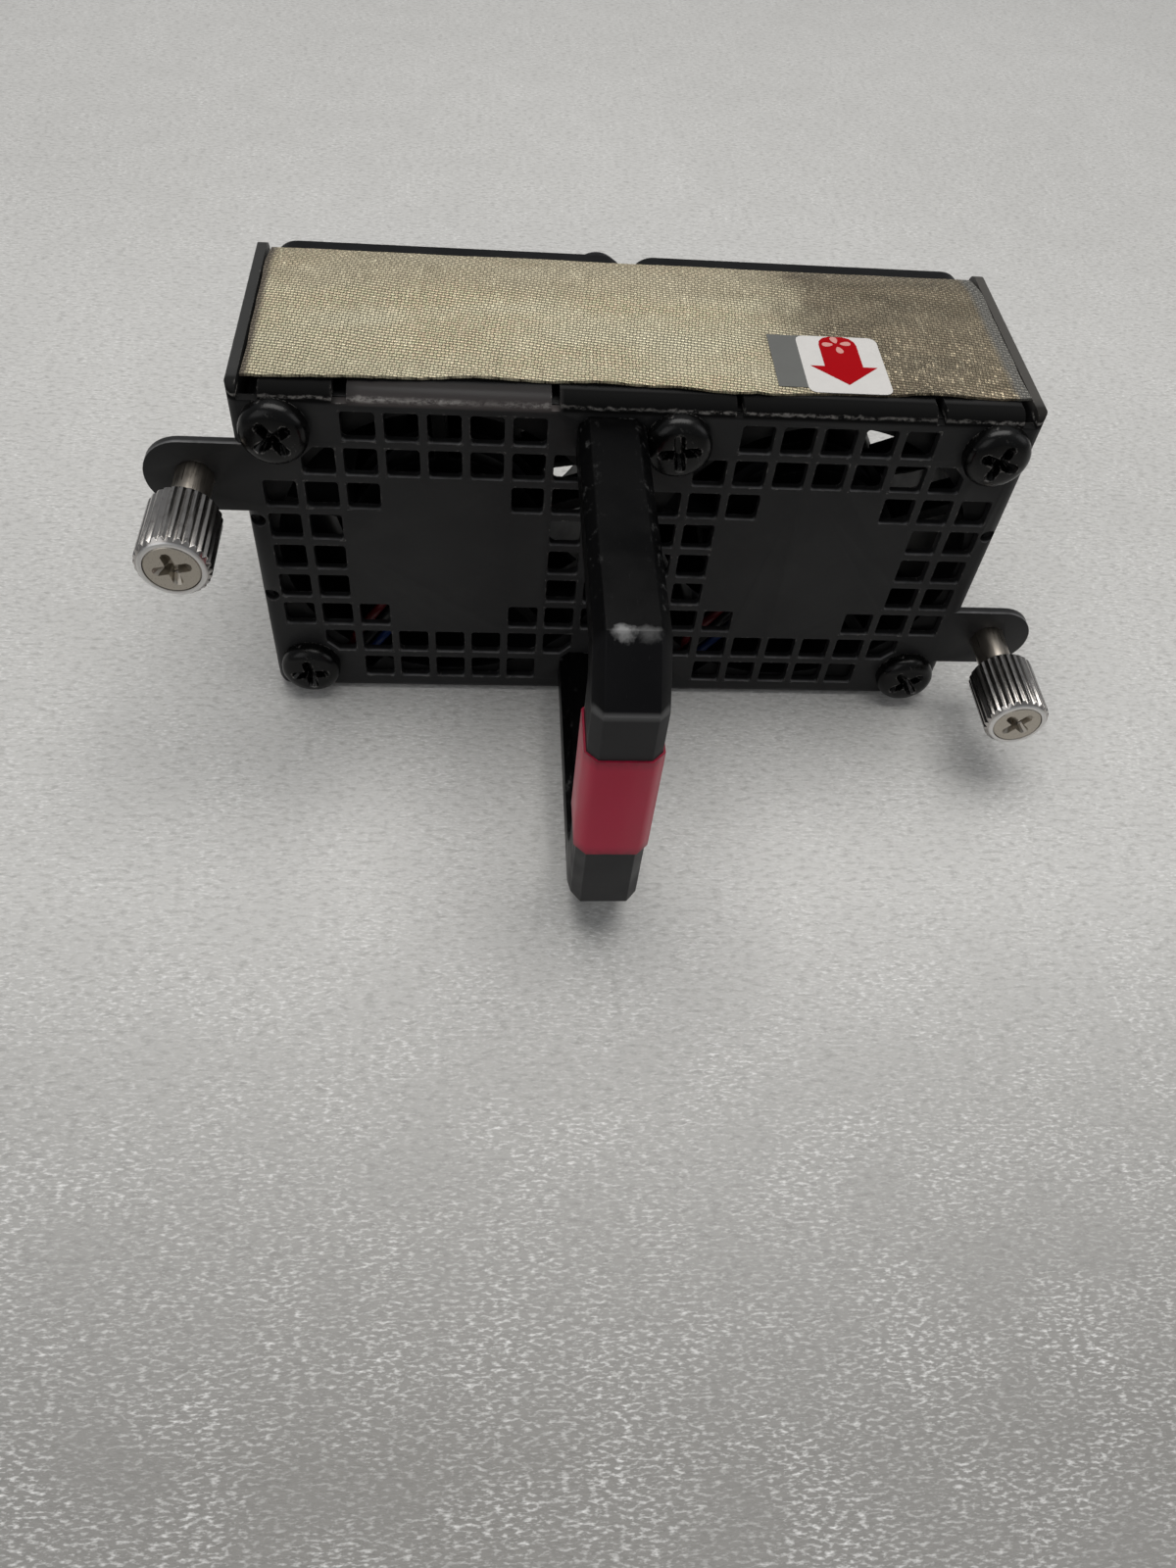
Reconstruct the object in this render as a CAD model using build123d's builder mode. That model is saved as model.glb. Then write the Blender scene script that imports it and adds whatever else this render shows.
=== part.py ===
"""Switch fan tray: two axial fans behind a folded grille, with a pull handle and two captive thumbscrews."""

import os
from math import ceil, cos, hypot, radians, sin

from build123d import *

os.makedirs("parts", exist_ok=True)

# Frame: the origin is the middle of the tray floor's underside. +X is to the right seen
# from the front, +Y to the rear and +Z up. The grille faces -Y. Lengths are millimetres.

# Clearances
touch = 0.03
seat_gap = 0.05
running_gap = 0.08
bearing_gap = 0.03

# Fans
fan_size = 38.0
fan_depth = 28.0
fan_gap = 0.6
fan_side_gap = 0.12
fan_height_gap = 0.2
fan_corner_radius = 2.6
screw_edge = 3.0
duct_wall = 1.4
fan_hole_gap = 0.1

# Motor base, its stay vanes and its bearing tube
base_setback = 2.6
base_thickness = 1.8
base_share = 0.274
vane_count = 5
vane_depth = 4.2
vane_thickness = 1.3
vane_root = 0.6
bearing_share = 0.079
bearing_width = 2.5
bearing_tube_wall = 0.9
bearing_tube_length = 12.6
bearing_floor = 0.8

# Rotor
shaft_radius = 1.5
tip_gap = 0.4
blade_count = 5
blade_middle = 14.2
root_chord_share = 0.34
tip_chord_share = 0.47
blade_pitch = 34.0
camber_ratio = 0.09
thickness_ratio = 0.07
blade_overrun = 1.0
hub_step = 0.3
hub_wall = 1.0
hub_length = 14.1
hub_nose_wall = 1.6
hub_boss_radius = 2.9
magnet_share = 0.042
magnet_setback = 0.2
magnet_length = 8.0
air_gap = 0.35
rotor_gap = 0.3

# Stator
stator_start = 7.9
stator_length = 5.6
pole_count = 4
pole_neck = 2.0
shoe_share = 0.0237
shoe_gap = 2.4
coil_wall = 1.1
board_thickness = 1.0
board_lift = 0.7
board_edge_gap = 0.3

# Fan leads
lead_colours = ("red", "black", "blue")
lead_radius = 0.45
lead_pitch = 1.5
lead_bend = 1.4
lead_depth = 1.5
lead_angle = 237.0
lead_start = 8.0
lead_channel_inset = 7.5
lead_channel_drop = 2.0
lead_channel_gap = 0.25

# Folded sheet tray
sheet = 1.0
bend_radius = 1.2
tray_depth = 27.2
tab_depth = 3.6
tab_slits = ((-29.0, 1.4), (-8.8, 0.8), (8.9, 0.7), (28.8, 0.9))
tab_slit_depth = 1.3
left_corner_relief = 2.0
right_corner_relief = 1.3
foot_relief = 1.6
foot_relief_depth = 2.4
wall_tip_radius = 1.5

# Grille
cell = 4.1
hole = 3.3
grille_margin = 0.2
head_clearance = 0.5

# Ears and their relief cuts
ear_reach = 9.2
ear_height = 8.0
ear_offset = 10.0
ear_overlap = 6.0
ear_relief = 0.9
ear_slot_depth = 0.8
edge_notch_radius = 0.8
left_notches = (4.7, -5.6)
right_notches = (5.2,)

# Fan and handle screws
screw_radius = 1.5
screw_hole_radius = 1.7
head_radius = 3.3
head_height = 2.0
fan_screw_length = 9.0
handle_head_radius = 2.8
handle_head_height = 1.8

# Handle
handle_width = 6.6
handle_reach = 33.5
arm_thickness = 5.0
grip_thickness = 6.7
handle_bevel = 5.0
handle_lower_bevel = 4.0
handle_chamfer = 1.0
window_corner = 2.0
handle_hole_depth = 9.0
handle_screw_bite = 7.0
band_height = 13.8
band_lift = 1.1
band_thickness = 0.2

# Gasket over the fans, with its airflow label
gasket_inset = 1.4
gasket_short = 4.0
gasket_overlap = 1.2
foam_thickness = 1.1
foam_setback = 0.3
fabric_thickness = 0.25
label_width = 11.3
label_depth = 9.8
label_thickness = 0.12
label_x = 18.5
label_setback = -0.2
label_corner = 0.8

# Captive thumbscrews
thumbscrew_offset = 4.3
retainer_radius = 1.85
retainer_lip = 0.9
retainer_overlap = 0.5
knob_radius = 3.5
knob_length = 8.1
knob_rest_gap = 5.3
knob_cavity = 6.7
knob_front_chamfer = 0.5
knob_rear_chamfer = 0.6
knob_web = 0.5
knurl_count = 28
knurl_size = 0.38
disc_radius = 2.62
neck_radius = 0.95
thread_radius = 1.3
thread_length = 5.6
shoulder_gap = 0.1
spring_radius = 1.5
spring_wire = 0.36
spring_end_gap = 0.15

# Rear connectors on their tongues
connector_margin = 1.5
connector_length = 6.5
connector_height = 4.6
connector_gap = 2.4
lug_length = 4.4
lug_thickness = 1.6
lug_screw_radius = 1.0
lug_head_radius = 1.7
lug_head_height = 0.8
contact_size = 1.0
contact_depth = 4.0
contact_recess = 0.8
tongue_margin = 1.0
tongue_corner = 1.5

# Places that follow from the sizes above
screw_spacing = fan_size - 2 * screw_edge
duct_radius = fan_size / 2 - duct_wall
base_radius = base_share * fan_size
hub_radius = base_radius + hub_step
bearing_radius = bearing_share * fan_size
magnet_wall = magnet_share * fan_size
pole_shoe = shoe_share * fan_size
root_chord = root_chord_share * fan_size
tip_chord = tip_chord_share * fan_size
lead_channel_x = fan_size / 2 - lead_channel_inset
lead_channel_z = fan_size / 2 - lead_channel_drop
tray_width = 2 * (fan_size + fan_side_gap + sheet) + fan_gap
tray_height = fan_size + 2 * (fan_height_gap + sheet)
inner_width = tray_width - 2 * sheet
gasket_width = tray_width - 2 * gasket_inset
gasket_depth = fan_depth - gasket_short
face_front = -tray_depth / 2
face_back = face_front + sheet
fan_front = face_back + seat_gap
fan_back = fan_front + fan_depth
fan_x = (fan_size + fan_gap) / 2
fan_z = sheet + fan_height_gap + fan_size / 2
fan_top = fan_z + fan_size / 2
fan_places = {"left": -fan_x, "right": fan_x}
fan_hole_radius = screw_radius + fan_hole_gap
screw_offset = screw_spacing / 2
handle_x = -fan_x + screw_offset
handle_screw_points = [(handle_x, fan_z + z) for z in (-screw_offset, screw_offset)]
corner_points = [
    (x + dx, fan_z + dz)
    for x in fan_places.values()
    for dx in (-screw_offset, screw_offset)
    for dz in (-screw_offset, screw_offset)
]
fan_screw_points = [point for point in corner_points if point not in handle_screw_points]
ear_places = {"left": (-1, fan_z + ear_offset), "right": (1, fan_z - ear_offset)}
tube_radius = bearing_radius + bearing_tube_wall
bore_radius = bearing_radius + touch
base_back = base_setback + base_thickness
tube_end = base_back + bearing_tube_length
tip_radius = duct_radius - tip_gap
magnet_outer = hub_radius - hub_wall - touch
magnet_inner = magnet_outer - magnet_wall
stator_radius = magnet_inner - air_gap
hub_start = base_setback + vane_depth + rotor_gap
hub_end = hub_start + hub_length
board_front = base_back + board_lift
lead_count = len(lead_colours)
connector_front = fan_back + connector_gap
connector_width = (lead_count - 1) * lead_pitch + 2 * connector_margin
lug_y = connector_front + connector_length / 2
lug_shift = (connector_width + lug_length) / 2
tongue_end = connector_front + connector_length + tongue_margin
tongue_width = connector_width + lug_length + 2 * tongue_margin


def save(part, name):
    """Label a finished piece and write it as its own file."""
    part.label = name
    export_step(part, f"parts/{name}.step")


def front_plane(y):
    """A plane at this Y that faces the front, with X to the right and Z up."""
    return Plane.XZ.offset(-y)


def spin_plane(x):
    """The plane of a fan's front face, facing the rear, so that offsets go down the duct."""
    return Plane(origin=(x, fan_front, fan_z), x_dir=(1, 0, 0), z_dir=(0, 1, 0))


def spin_section(x):
    """The plane through a fan's axis: local x is the radius and local y the depth."""
    return Plane(origin=(x, fan_front, fan_z), x_dir=(1, 0, 0), z_dir=(0, 0, 1))


def spin_axis(x):
    return Axis((x, fan_front, fan_z), (0, 1, 0))


def grille_points(x):
    """Centres of the square holes: a ring of cells between the motor base and the frame."""
    reach = ceil(fan_size / 2 / cell)
    steps = range(-reach, reach + 1)
    cells = [(column * cell, row * cell) for column in steps for row in steps]
    inner = base_radius + grille_margin
    limit = fan_size / 2
    return [
        (x + dx, fan_z + dz)
        for dx, dz in cells
        if inner < hypot(dx, dz) < limit and max(abs(dx), abs(dz)) + hole / 2 < limit
    ]


def make_tray():
    with BuildPart() as tray:
        with BuildSketch(Plane.XY):
            Rectangle(tray_width, tray_depth)
        extrude(amount=tray_height)
        front_bends = tray.edges().group_by(Axis.Y)[0]
        side_bends = tray.edges().filter_by(Axis.Y).group_by(Axis.Z)[0]
        fillet(front_bends + side_bends, bend_radius)
        with BuildSketch(Plane.XY.offset(sheet)):
            with Locations((0, sheet)):
                Rectangle(inner_width, tray_depth)
        extrude(amount=tray_height - 2 * sheet, mode=Mode.SUBTRACT)
        with BuildSketch(Plane.XY.offset(tray_height - sheet)):
            with Locations((0, tab_depth)):
                Rectangle(inner_width, tray_depth)
        extrude(amount=sheet, mode=Mode.SUBTRACT)

        # Slits part the top tabs, and a wider cut frees each end from its wall
        corner_cuts = (
            ((left_corner_relief - inner_width) / 2, left_corner_relief),
            ((inner_width - right_corner_relief) / 2, right_corner_relief),
        )
        with BuildSketch(Plane.XY.offset(tray_height)):
            for slit_x, slit_width in tab_slits + corner_cuts:
                with Locations((slit_x, face_front + tab_depth / 2)):
                    Rectangle(slit_width, tab_depth)
        extrude(amount=-tab_slit_depth, mode=Mode.SUBTRACT)
        with BuildSketch(front_plane(face_front)):
            with Locations((-tray_width / 2, 0), (tray_width / 2, 0)):
                Rectangle(foot_relief * 2**0.5, foot_relief * 2**0.5, rotation=45)
        extrude(amount=-foot_relief_depth, mode=Mode.SUBTRACT)
        wall_tips = tray.edges().filter_by(Axis.X).group_by(Axis.Z)[-1].group_by(Axis.Y)[-1]
        fillet(wall_tips, wall_tip_radius)

        # The ears stay flat when the walls are folded, so each has a slot in its wall
        for side, ear_z in ear_places.values():
            with BuildSketch(front_plane(face_back)):
                with Locations((side * (tray_width - sheet) / 2, ear_z)):
                    Rectangle(sheet + touch, ear_height + 2 * ear_relief)
            extrude(amount=-ear_slot_depth, mode=Mode.SUBTRACT)
            ear_length = ear_reach + ear_overlap
            ear_middle = tray_width / 2 + ear_reach - ear_length / 2
            with BuildSketch(front_plane(face_front)):
                with Locations((side * ear_middle, ear_z)):
                    SlotOverall(ear_length, ear_height)
            extrude(amount=-sheet)
        notches = [(-inner_width / 2, fan_z + z) for z in left_notches]
        notches += [(inner_width / 2, fan_z + z) for z in right_notches]
        thumbscrew_x = tray_width / 2 + thumbscrew_offset
        with BuildSketch(front_plane(face_front)):
            with Locations(*notches):
                Circle(edge_notch_radius)
            with Locations(*corner_points):
                Circle(screw_hole_radius)
            with Locations(*[(side * thumbscrew_x, z) for side, z in ear_places.values()]):
                Circle(retainer_radius + touch)
        extrude(amount=-sheet, mode=Mode.SUBTRACT)

        # Grille: the holes nearest a screw head lose the corner that faces it
        head_flat = 2 * (head_radius + head_clearance)
        with BuildSketch(front_plane(face_front)):
            for x in fan_places.values():
                with Locations(*grille_points(x)):
                    Rectangle(hole, hole)
            with Locations(*corner_points):
                Rectangle(head_flat, head_flat, rotation=45, mode=Mode.SUBTRACT)
        extrude(amount=-sheet, mode=Mode.SUBTRACT)

        # Two tongues behind the floor, one for each fan's connector
        with BuildSketch(Plane.XY) as tongues:
            for x in fan_places.values():
                with Locations((connector_x(x) + lug_length / 2, (tongue_end - face_front) / 2)):
                    Rectangle(tongue_width, tongue_end + face_front)
            fillet(tongues.vertices().group_by(Axis.Y)[-1], tongue_corner)
        extrude(amount=sheet)
        with BuildSketch(Plane.XY):
            with Locations(*lug_points()):
                Circle(lug_screw_radius + touch)
        extrude(amount=sheet, mode=Mode.SUBTRACT)
    save(tray.part, "tray")


def connector_x(x):
    """Middle of a fan's connector: straight behind its leads."""
    return x - lead_channel_x


def lug_points():
    """Places of the screws that hold the connectors down."""
    return [(connector_x(x) + lug_shift, lug_y) for x in fan_places.values()]


def make_handle():
    handle_height = screw_spacing + arm_thickness
    window_reach = handle_reach - grip_thickness
    root = face_front - seat_gap
    with BuildPart() as handle:
        with BuildSketch(Plane.YZ.offset(handle_x - handle_width / 2)) as profile:
            with Locations((root - handle_reach / 2, fan_z)):
                Rectangle(handle_reach, handle_height)
            chamfer(profile.vertices().group_by(Axis.X)[0].sort_by(Axis.Y)[0], handle_lower_bevel)
            chamfer(profile.vertices().group_by(Axis.X)[0].sort_by(Axis.Y)[-1], handle_bevel)
            with Locations((root - window_reach / 2, fan_z)):
                Rectangle(window_reach, screw_spacing - arm_thickness, mode=Mode.SUBTRACT)
            inner_corners = profile.vertices().filter_by_position(
                Axis.X, root - window_reach - touch, root - window_reach + touch
            )
            fillet(inner_corners, window_corner)
        extrude(amount=handle_width)
        rims = handle.faces().filter_by(Axis.X).edges()
        chamfer([edge for edge in rims if edge.center().Y < root - touch], handle_chamfer)
        with BuildSketch(front_plane(root)):
            with Locations(*handle_screw_points):
                Circle(fan_hole_radius)
        extrude(amount=handle_hole_depth, mode=Mode.SUBTRACT)
    save(handle.part, "handle")


def make_handle_band():
    grip_y = face_front - seat_gap - handle_reach + grip_thickness / 2
    band_bottom = fan_z + band_lift - band_height / 2
    with BuildPart() as band:
        with BuildSketch(Plane.XY.offset(band_bottom)) as section:
            with Locations((handle_x, grip_y)):
                Rectangle(handle_width, grip_thickness)
            chamfer(section.vertices(), handle_chamfer)
            offset(amount=touch + band_thickness, kind=Kind.INTERSECTION)
            offset(amount=-band_thickness, kind=Kind.INTERSECTION, mode=Mode.SUBTRACT)
        extrude(amount=band_height)
    save(band.part, "handle_band")


def make_fan_screws():
    with BuildPart() as screws:
        with BuildSketch(front_plane(face_front - touch)):
            with Locations(*fan_screw_points):
                Circle(head_radius)
        extrude(amount=head_height)
        with BuildSketch(front_plane(face_front - touch)):
            with Locations(*fan_screw_points):
                Circle(screw_radius)
        extrude(amount=-fan_screw_length)
    save(screws.part, "fan_screws")


def make_handle_screws():
    length = fan_back - face_front + handle_screw_bite
    with BuildPart() as screws:
        with BuildSketch(front_plane(fan_back + touch)):
            with Locations(*handle_screw_points):
                Circle(handle_head_radius)
        extrude(amount=-handle_head_height)
        with BuildSketch(front_plane(fan_back + touch)):
            with Locations(*handle_screw_points):
                Circle(screw_radius)
        extrude(amount=length)
    save(screws.part, "handle_screws")


def make_gasket():
    fabric_front = face_front + tab_depth - gasket_overlap
    foam_front = face_front + tab_depth + foam_setback
    foam_back = fabric_front + gasket_depth - foam_setback
    foam_base = fan_top + touch
    fabric_base = max(foam_base + foam_thickness, tray_height) + seat_gap
    with BuildPart() as foam:
        with BuildSketch(Plane.XY.offset(foam_base)):
            with Locations((0, (foam_front + foam_back) / 2)):
                Rectangle(gasket_width, foam_back - foam_front)
        extrude(amount=fabric_base - touch - foam_base)
    save(foam.part, "gasket_foam")
    with BuildPart() as fabric:
        with BuildSketch(Plane.XY.offset(fabric_base)):
            with Locations((0, fabric_front + gasket_depth / 2)):
                Rectangle(gasket_width, gasket_depth)
        extrude(amount=fabric_thickness)
    save(fabric.part, "gasket_fabric")
    with BuildPart() as label:
        with BuildSketch(Plane.XY.offset(fabric_base + fabric_thickness + touch)):
            with Locations((label_x, fabric_front + label_setback + label_depth / 2)):
                RectangleRounded(label_width, label_depth, label_corner)
        extrude(amount=label_thickness)
    save(label.part, "airflow_label")


def lead_channel(x):
    """Middle of the row of leads where it runs back through a fan's corner."""
    return x - lead_channel_x, fan_z - lead_channel_z


def make_fan_frame(side, x):
    spin = spin_plane(x)
    channel_width = (lead_count - 1) * lead_pitch + 2 * (lead_radius + lead_channel_gap)
    channel_depth = 2 * (lead_radius + lead_channel_gap)
    vane_length = duct_radius - base_radius + 2 * vane_root
    vane_middle = (duct_radius + base_radius) / 2
    with BuildPart() as frame:
        with BuildSketch(spin):
            RectangleRounded(fan_size, fan_size, fan_corner_radius)
        extrude(amount=fan_depth)
        with BuildSketch(spin):
            Circle(duct_radius)
        extrude(amount=fan_depth, mode=Mode.SUBTRACT)

        # Stay vanes carry the motor base in front of the impeller
        with BuildSketch(spin.offset(base_setback)):
            Circle(base_radius)
        extrude(amount=base_thickness)
        with BuildSketch(spin.offset(base_setback)):
            with PolarLocations(vane_middle, vane_count, start_angle=-lead_angle):
                Rectangle(vane_length, vane_thickness)
        extrude(amount=vane_depth)
        with BuildSketch(spin.offset(base_setback)):
            Circle(tube_radius)
        extrude(amount=tube_end - base_setback)
        with BuildSketch(spin.offset(base_setback + bearing_floor)):
            Circle(bore_radius)
        extrude(amount=fan_depth, mode=Mode.SUBTRACT)

        # Corner holes, then the way of the leads: out past the duct and back through a corner
        with BuildSketch(front_plane(fan_front)):
            with GridLocations(screw_spacing, screw_spacing, 2, 2):
                with Locations((x, fan_z)):
                    Circle(fan_hole_radius)
        extrude(amount=-fan_depth, mode=Mode.SUBTRACT)
        with BuildSketch(front_plane(fan_front)):
            with Locations(lead_channel(x)):
                Rectangle(channel_width, channel_depth)
        extrude(amount=-fan_depth, mode=Mode.SUBTRACT)
        with BuildSketch(front_plane(fan_front)):
            with Locations(lead_channel(x)):
                Rectangle(channel_width, channel_depth)
            with Locations((x, fan_z)):
                with PolarLocations(duct_radius - channel_depth, 1, start_angle=lead_angle):
                    Rectangle(channel_depth, channel_width)
            make_hull()
        extrude(amount=-base_setback, mode=Mode.SUBTRACT)
    save(frame.part, f"{side}_fan_frame")


def make_bearings(side, x):
    spin = spin_plane(x)
    places = {
        "front": base_setback + bearing_floor + rotor_gap,
        "rear": tube_end - bearing_width,
    }
    for end, start in places.items():
        with BuildPart() as bearing:
            with BuildSketch(spin.offset(start)):
                Circle(bearing_radius)
                Circle(shaft_radius + bearing_gap, mode=Mode.SUBTRACT)
            extrude(amount=bearing_width)
        save(bearing.part, f"{side}_{end}_bearing")


def make_stator(side, x):
    spin = spin_plane(x)
    core_inner = tube_radius + touch
    yoke_ring = core_inner + pole_shoe
    coil_front = yoke_ring + seat_gap
    coil_half = pole_neck / 2 + coil_wall
    coil_back = ((stator_radius - pole_shoe) ** 2 - coil_half**2) ** 0.5 - seat_gap
    with BuildPart() as core:
        with BuildSketch(spin.offset(stator_start)):
            Circle(stator_radius)
            Circle(stator_radius - pole_shoe, mode=Mode.SUBTRACT)
            for turn in (45, 135):
                Rectangle(2 * fan_size, shoe_gap, rotation=turn, mode=Mode.SUBTRACT)
            for turn in (0, 90):
                Rectangle(2 * stator_radius - pole_shoe, pole_neck, rotation=turn)
            Circle(yoke_ring)
            Circle(core_inner, mode=Mode.SUBTRACT)
        extrude(amount=stator_length)
    save(core.part, f"{side}_stator_core")

    coil_plane = Plane(
        origin=(x + coil_front, fan_front + stator_start + stator_length / 2, fan_z),
        x_dir=(0, 1, 0),
        z_dir=(1, 0, 0),
    )
    neck_gap = 2 * seat_gap
    with BuildPart() as coil:
        with BuildSketch(coil_plane):
            Rectangle(stator_length + 2 * coil_wall, pole_neck + 2 * coil_wall)
            Rectangle(stator_length + neck_gap, pole_neck + neck_gap, mode=Mode.SUBTRACT)
        extrude(amount=coil_back - coil_front)
    with BuildPart() as coils:
        for index in range(pole_count):
            add(coil.part.rotate(spin_axis(x), index * 360 / pole_count))
    save(coils.part, f"{side}_coils")

    with BuildPart() as board:
        with BuildSketch(spin.offset(board_front)):
            Circle(base_radius - hub_wall - board_edge_gap)
            Circle(tube_radius + touch, mode=Mode.SUBTRACT)
        extrude(amount=board_thickness)
    save(board.part, f"{side}_circuit_board")


def blade_corners(x, radius, chord):
    """Nose, top, tail and belly of a blade at one radius, straight above the axis."""
    middle = Vector(x, fan_front + blade_middle, fan_z + radius)
    along = Vector(cos(radians(blade_pitch)), sin(radians(blade_pitch)), 0) * chord
    across = Vector(sin(radians(blade_pitch)), -cos(radians(blade_pitch)), 0) * chord
    top = across * (camber_ratio + thickness_ratio / 2)
    belly = across * (camber_ratio - thickness_ratio / 2)
    return [middle + step for step in (along / 2, top, along / -2, belly)]


def make_impeller(side, x):
    root = blade_corners(x, hub_radius - hub_wall + touch, root_chord)
    tip = blade_corners(x, tip_radius + blade_overrun, tip_chord)
    outlines = [root, tip]
    outlines += [[root[i - 1], root[i], tip[i], tip[i - 1]] for i in range(len(root))]
    with BuildPart() as blade:
        add(Solid(Shell([Face(Wire.make_polygon(outline)) for outline in outlines])))
        with BuildSketch(spin_plane(x)):
            Circle(tip_radius)
        extrude(amount=fan_depth, mode=Mode.INTERSECT)
    cup_wall_end = hub_end - hub_nose_wall
    with BuildPart() as impeller:
        with BuildSketch(spin_section(x)):
            with BuildLine():
                Polyline(
                    (hub_radius - hub_wall, hub_start),
                    (hub_radius, hub_start),
                    (hub_radius, hub_end),
                    (0, hub_end),
                    (0, cup_wall_end),
                    (hub_radius - hub_wall, cup_wall_end),
                    close=True,
                )
            make_face()
        revolve(axis=spin_axis(x))
        with BuildSketch(spin_plane(x).offset(tube_end + rotor_gap)):
            Circle(hub_boss_radius)
        extrude(amount=hub_end - hub_nose_wall - tube_end - rotor_gap)
        with BuildSketch(spin_plane(x).offset(tube_end)):
            Circle(shaft_radius + touch)
        extrude(amount=hub_end - hub_nose_wall / 2 - tube_end, mode=Mode.SUBTRACT)
        for index in range(blade_count):
            add(blade.part.rotate(spin_axis(x), index * 360 / blade_count))
    save(impeller.part, f"{side}_impeller")


def make_rotor(side, x):
    spin = spin_plane(x)
    shaft_start = base_setback + bearing_floor + rotor_gap
    shaft_end = hub_end - hub_nose_wall / 2 - touch
    with BuildPart() as magnet:
        with BuildSketch(spin.offset(hub_start + magnet_setback)):
            Circle(magnet_outer)
            Circle(magnet_inner, mode=Mode.SUBTRACT)
        extrude(amount=magnet_length)
    save(magnet.part, f"{side}_ring_magnet")
    with BuildPart() as shaft:
        with BuildSketch(spin.offset(shaft_start)):
            Circle(shaft_radius)
        extrude(amount=shaft_end - shaft_start)
    save(shaft.part, f"{side}_shaft")


def lead_route(x, index):
    """Corner points of one lead: out along a vane, then back through the corner to its socket."""
    row = (index - (lead_count - 1) / 2) * lead_pitch
    angle = radians(lead_angle)
    along = Vector(cos(angle), 0, sin(angle))
    across = Vector(-sin(angle), 0, cos(angle))
    start = Vector(x, 0, fan_z) + along * lead_start + across * row
    corner_x, corner_z = lead_channel(x)
    lead_y = fan_front + lead_depth
    return [
        (start.X, lead_y, start.Z),
        (corner_x + row, lead_y, corner_z),
        (corner_x + row, connector_front - touch, corner_z),
    ]


def make_leads(side, x):
    for index, colour in enumerate(lead_colours):
        with BuildPart() as lead:
            with BuildLine() as route:
                FilletPolyline(*lead_route(x, index), radius=lead_bend)
            with BuildSketch(Plane(origin=route.line @ 0, x_dir=(0, 1, 0), z_dir=route.line % 0)):
                Rectangle(2 * lead_radius, 2 * lead_radius)
            sweep(path=route.line)
        save(lead.part, f"{side}_{colour}_lead")


def thumbscrew_section(x, z):
    """The plane through a thumbscrew's axis: local x is the radius, local y the way forward."""
    return Plane(origin=(x, face_front, z), x_dir=(1, 0, 0), z_dir=(0, 0, -1))


def make_retainer(side, x, z):
    front = knob_rest_gap + retainer_overlap
    lip_back = front - retainer_lip
    with BuildPart() as retainer:
        with BuildSketch(thumbscrew_section(x, z)):
            with BuildLine():
                Polyline(
                    (thread_radius + running_gap, -sheet),
                    (retainer_radius, -sheet),
                    (retainer_radius, front),
                    (neck_radius + running_gap, front),
                    (neck_radius + running_gap, lip_back),
                    (thread_radius + running_gap, lip_back),
                    close=True,
                )
            make_face()
        revolve(axis=Axis((x, face_front, z), (0, 1, 0)))
    save(retainer.part, f"{side}_retainer")


def make_knob(side, x, z):
    back = knob_rest_gap
    front = back + knob_length
    cavity_end = back + knob_cavity
    web_front = cavity_end + knob_web
    bore = retainer_radius + running_gap
    with BuildPart() as knob:
        with BuildSketch(thumbscrew_section(x, z)):
            with BuildLine():
                Polyline(
                    (bore, back),
                    (knob_radius - knob_rear_chamfer, back),
                    (knob_radius, back + knob_rear_chamfer),
                    (knob_radius, front - knob_front_chamfer),
                    (knob_radius - knob_front_chamfer, front),
                    (disc_radius + touch, front),
                    (disc_radius + touch, web_front),
                    (neck_radius + touch, web_front),
                    (neck_radius + touch, cavity_end),
                    (bore, cavity_end),
                    close=True,
                )
            make_face()
        revolve(axis=Axis((x, face_front, z), (0, 1, 0)))
        with BuildSketch(front_plane(face_front - back)):
            with Locations((x, z)):
                with PolarLocations(knob_radius, knurl_count):
                    Rectangle(knurl_size, knurl_size, rotation=45)
        extrude(amount=knob_length, mode=Mode.SUBTRACT)
    save(knob.part, f"{side}_knob")


def make_captive_screw(side, x, z):
    front = knob_rest_gap + knob_length
    head_back = knob_rest_gap + knob_cavity + knob_web + touch
    shoulder = knob_rest_gap + retainer_overlap - retainer_lip - shoulder_gap
    tip = shoulder - thread_length
    with BuildPart() as screw:
        with BuildSketch(thumbscrew_section(x, z)):
            with BuildLine():
                Polyline(
                    (0, tip),
                    (thread_radius, tip),
                    (thread_radius, shoulder),
                    (neck_radius, shoulder),
                    (neck_radius, head_back),
                    (disc_radius, head_back),
                    (disc_radius, front),
                    (0, front),
                    close=True,
                )
            make_face()
        revolve(axis=Axis((x, face_front, z), (0, 1, 0)))
    save(screw.part, f"{side}_captive_screw")


def make_spring(side, x, z):
    start = knob_rest_gap + retainer_overlap + spring_end_gap
    end = knob_rest_gap + knob_cavity - spring_end_gap
    with BuildPart() as spring:
        with BuildSketch(front_plane(face_front - start)):
            with Locations((x, z)):
                Circle(spring_radius + spring_wire / 2)
                Circle(spring_radius - spring_wire / 2, mode=Mode.SUBTRACT)
        extrude(amount=end - start)
    save(spring.part, f"{side}_spring")


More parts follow.
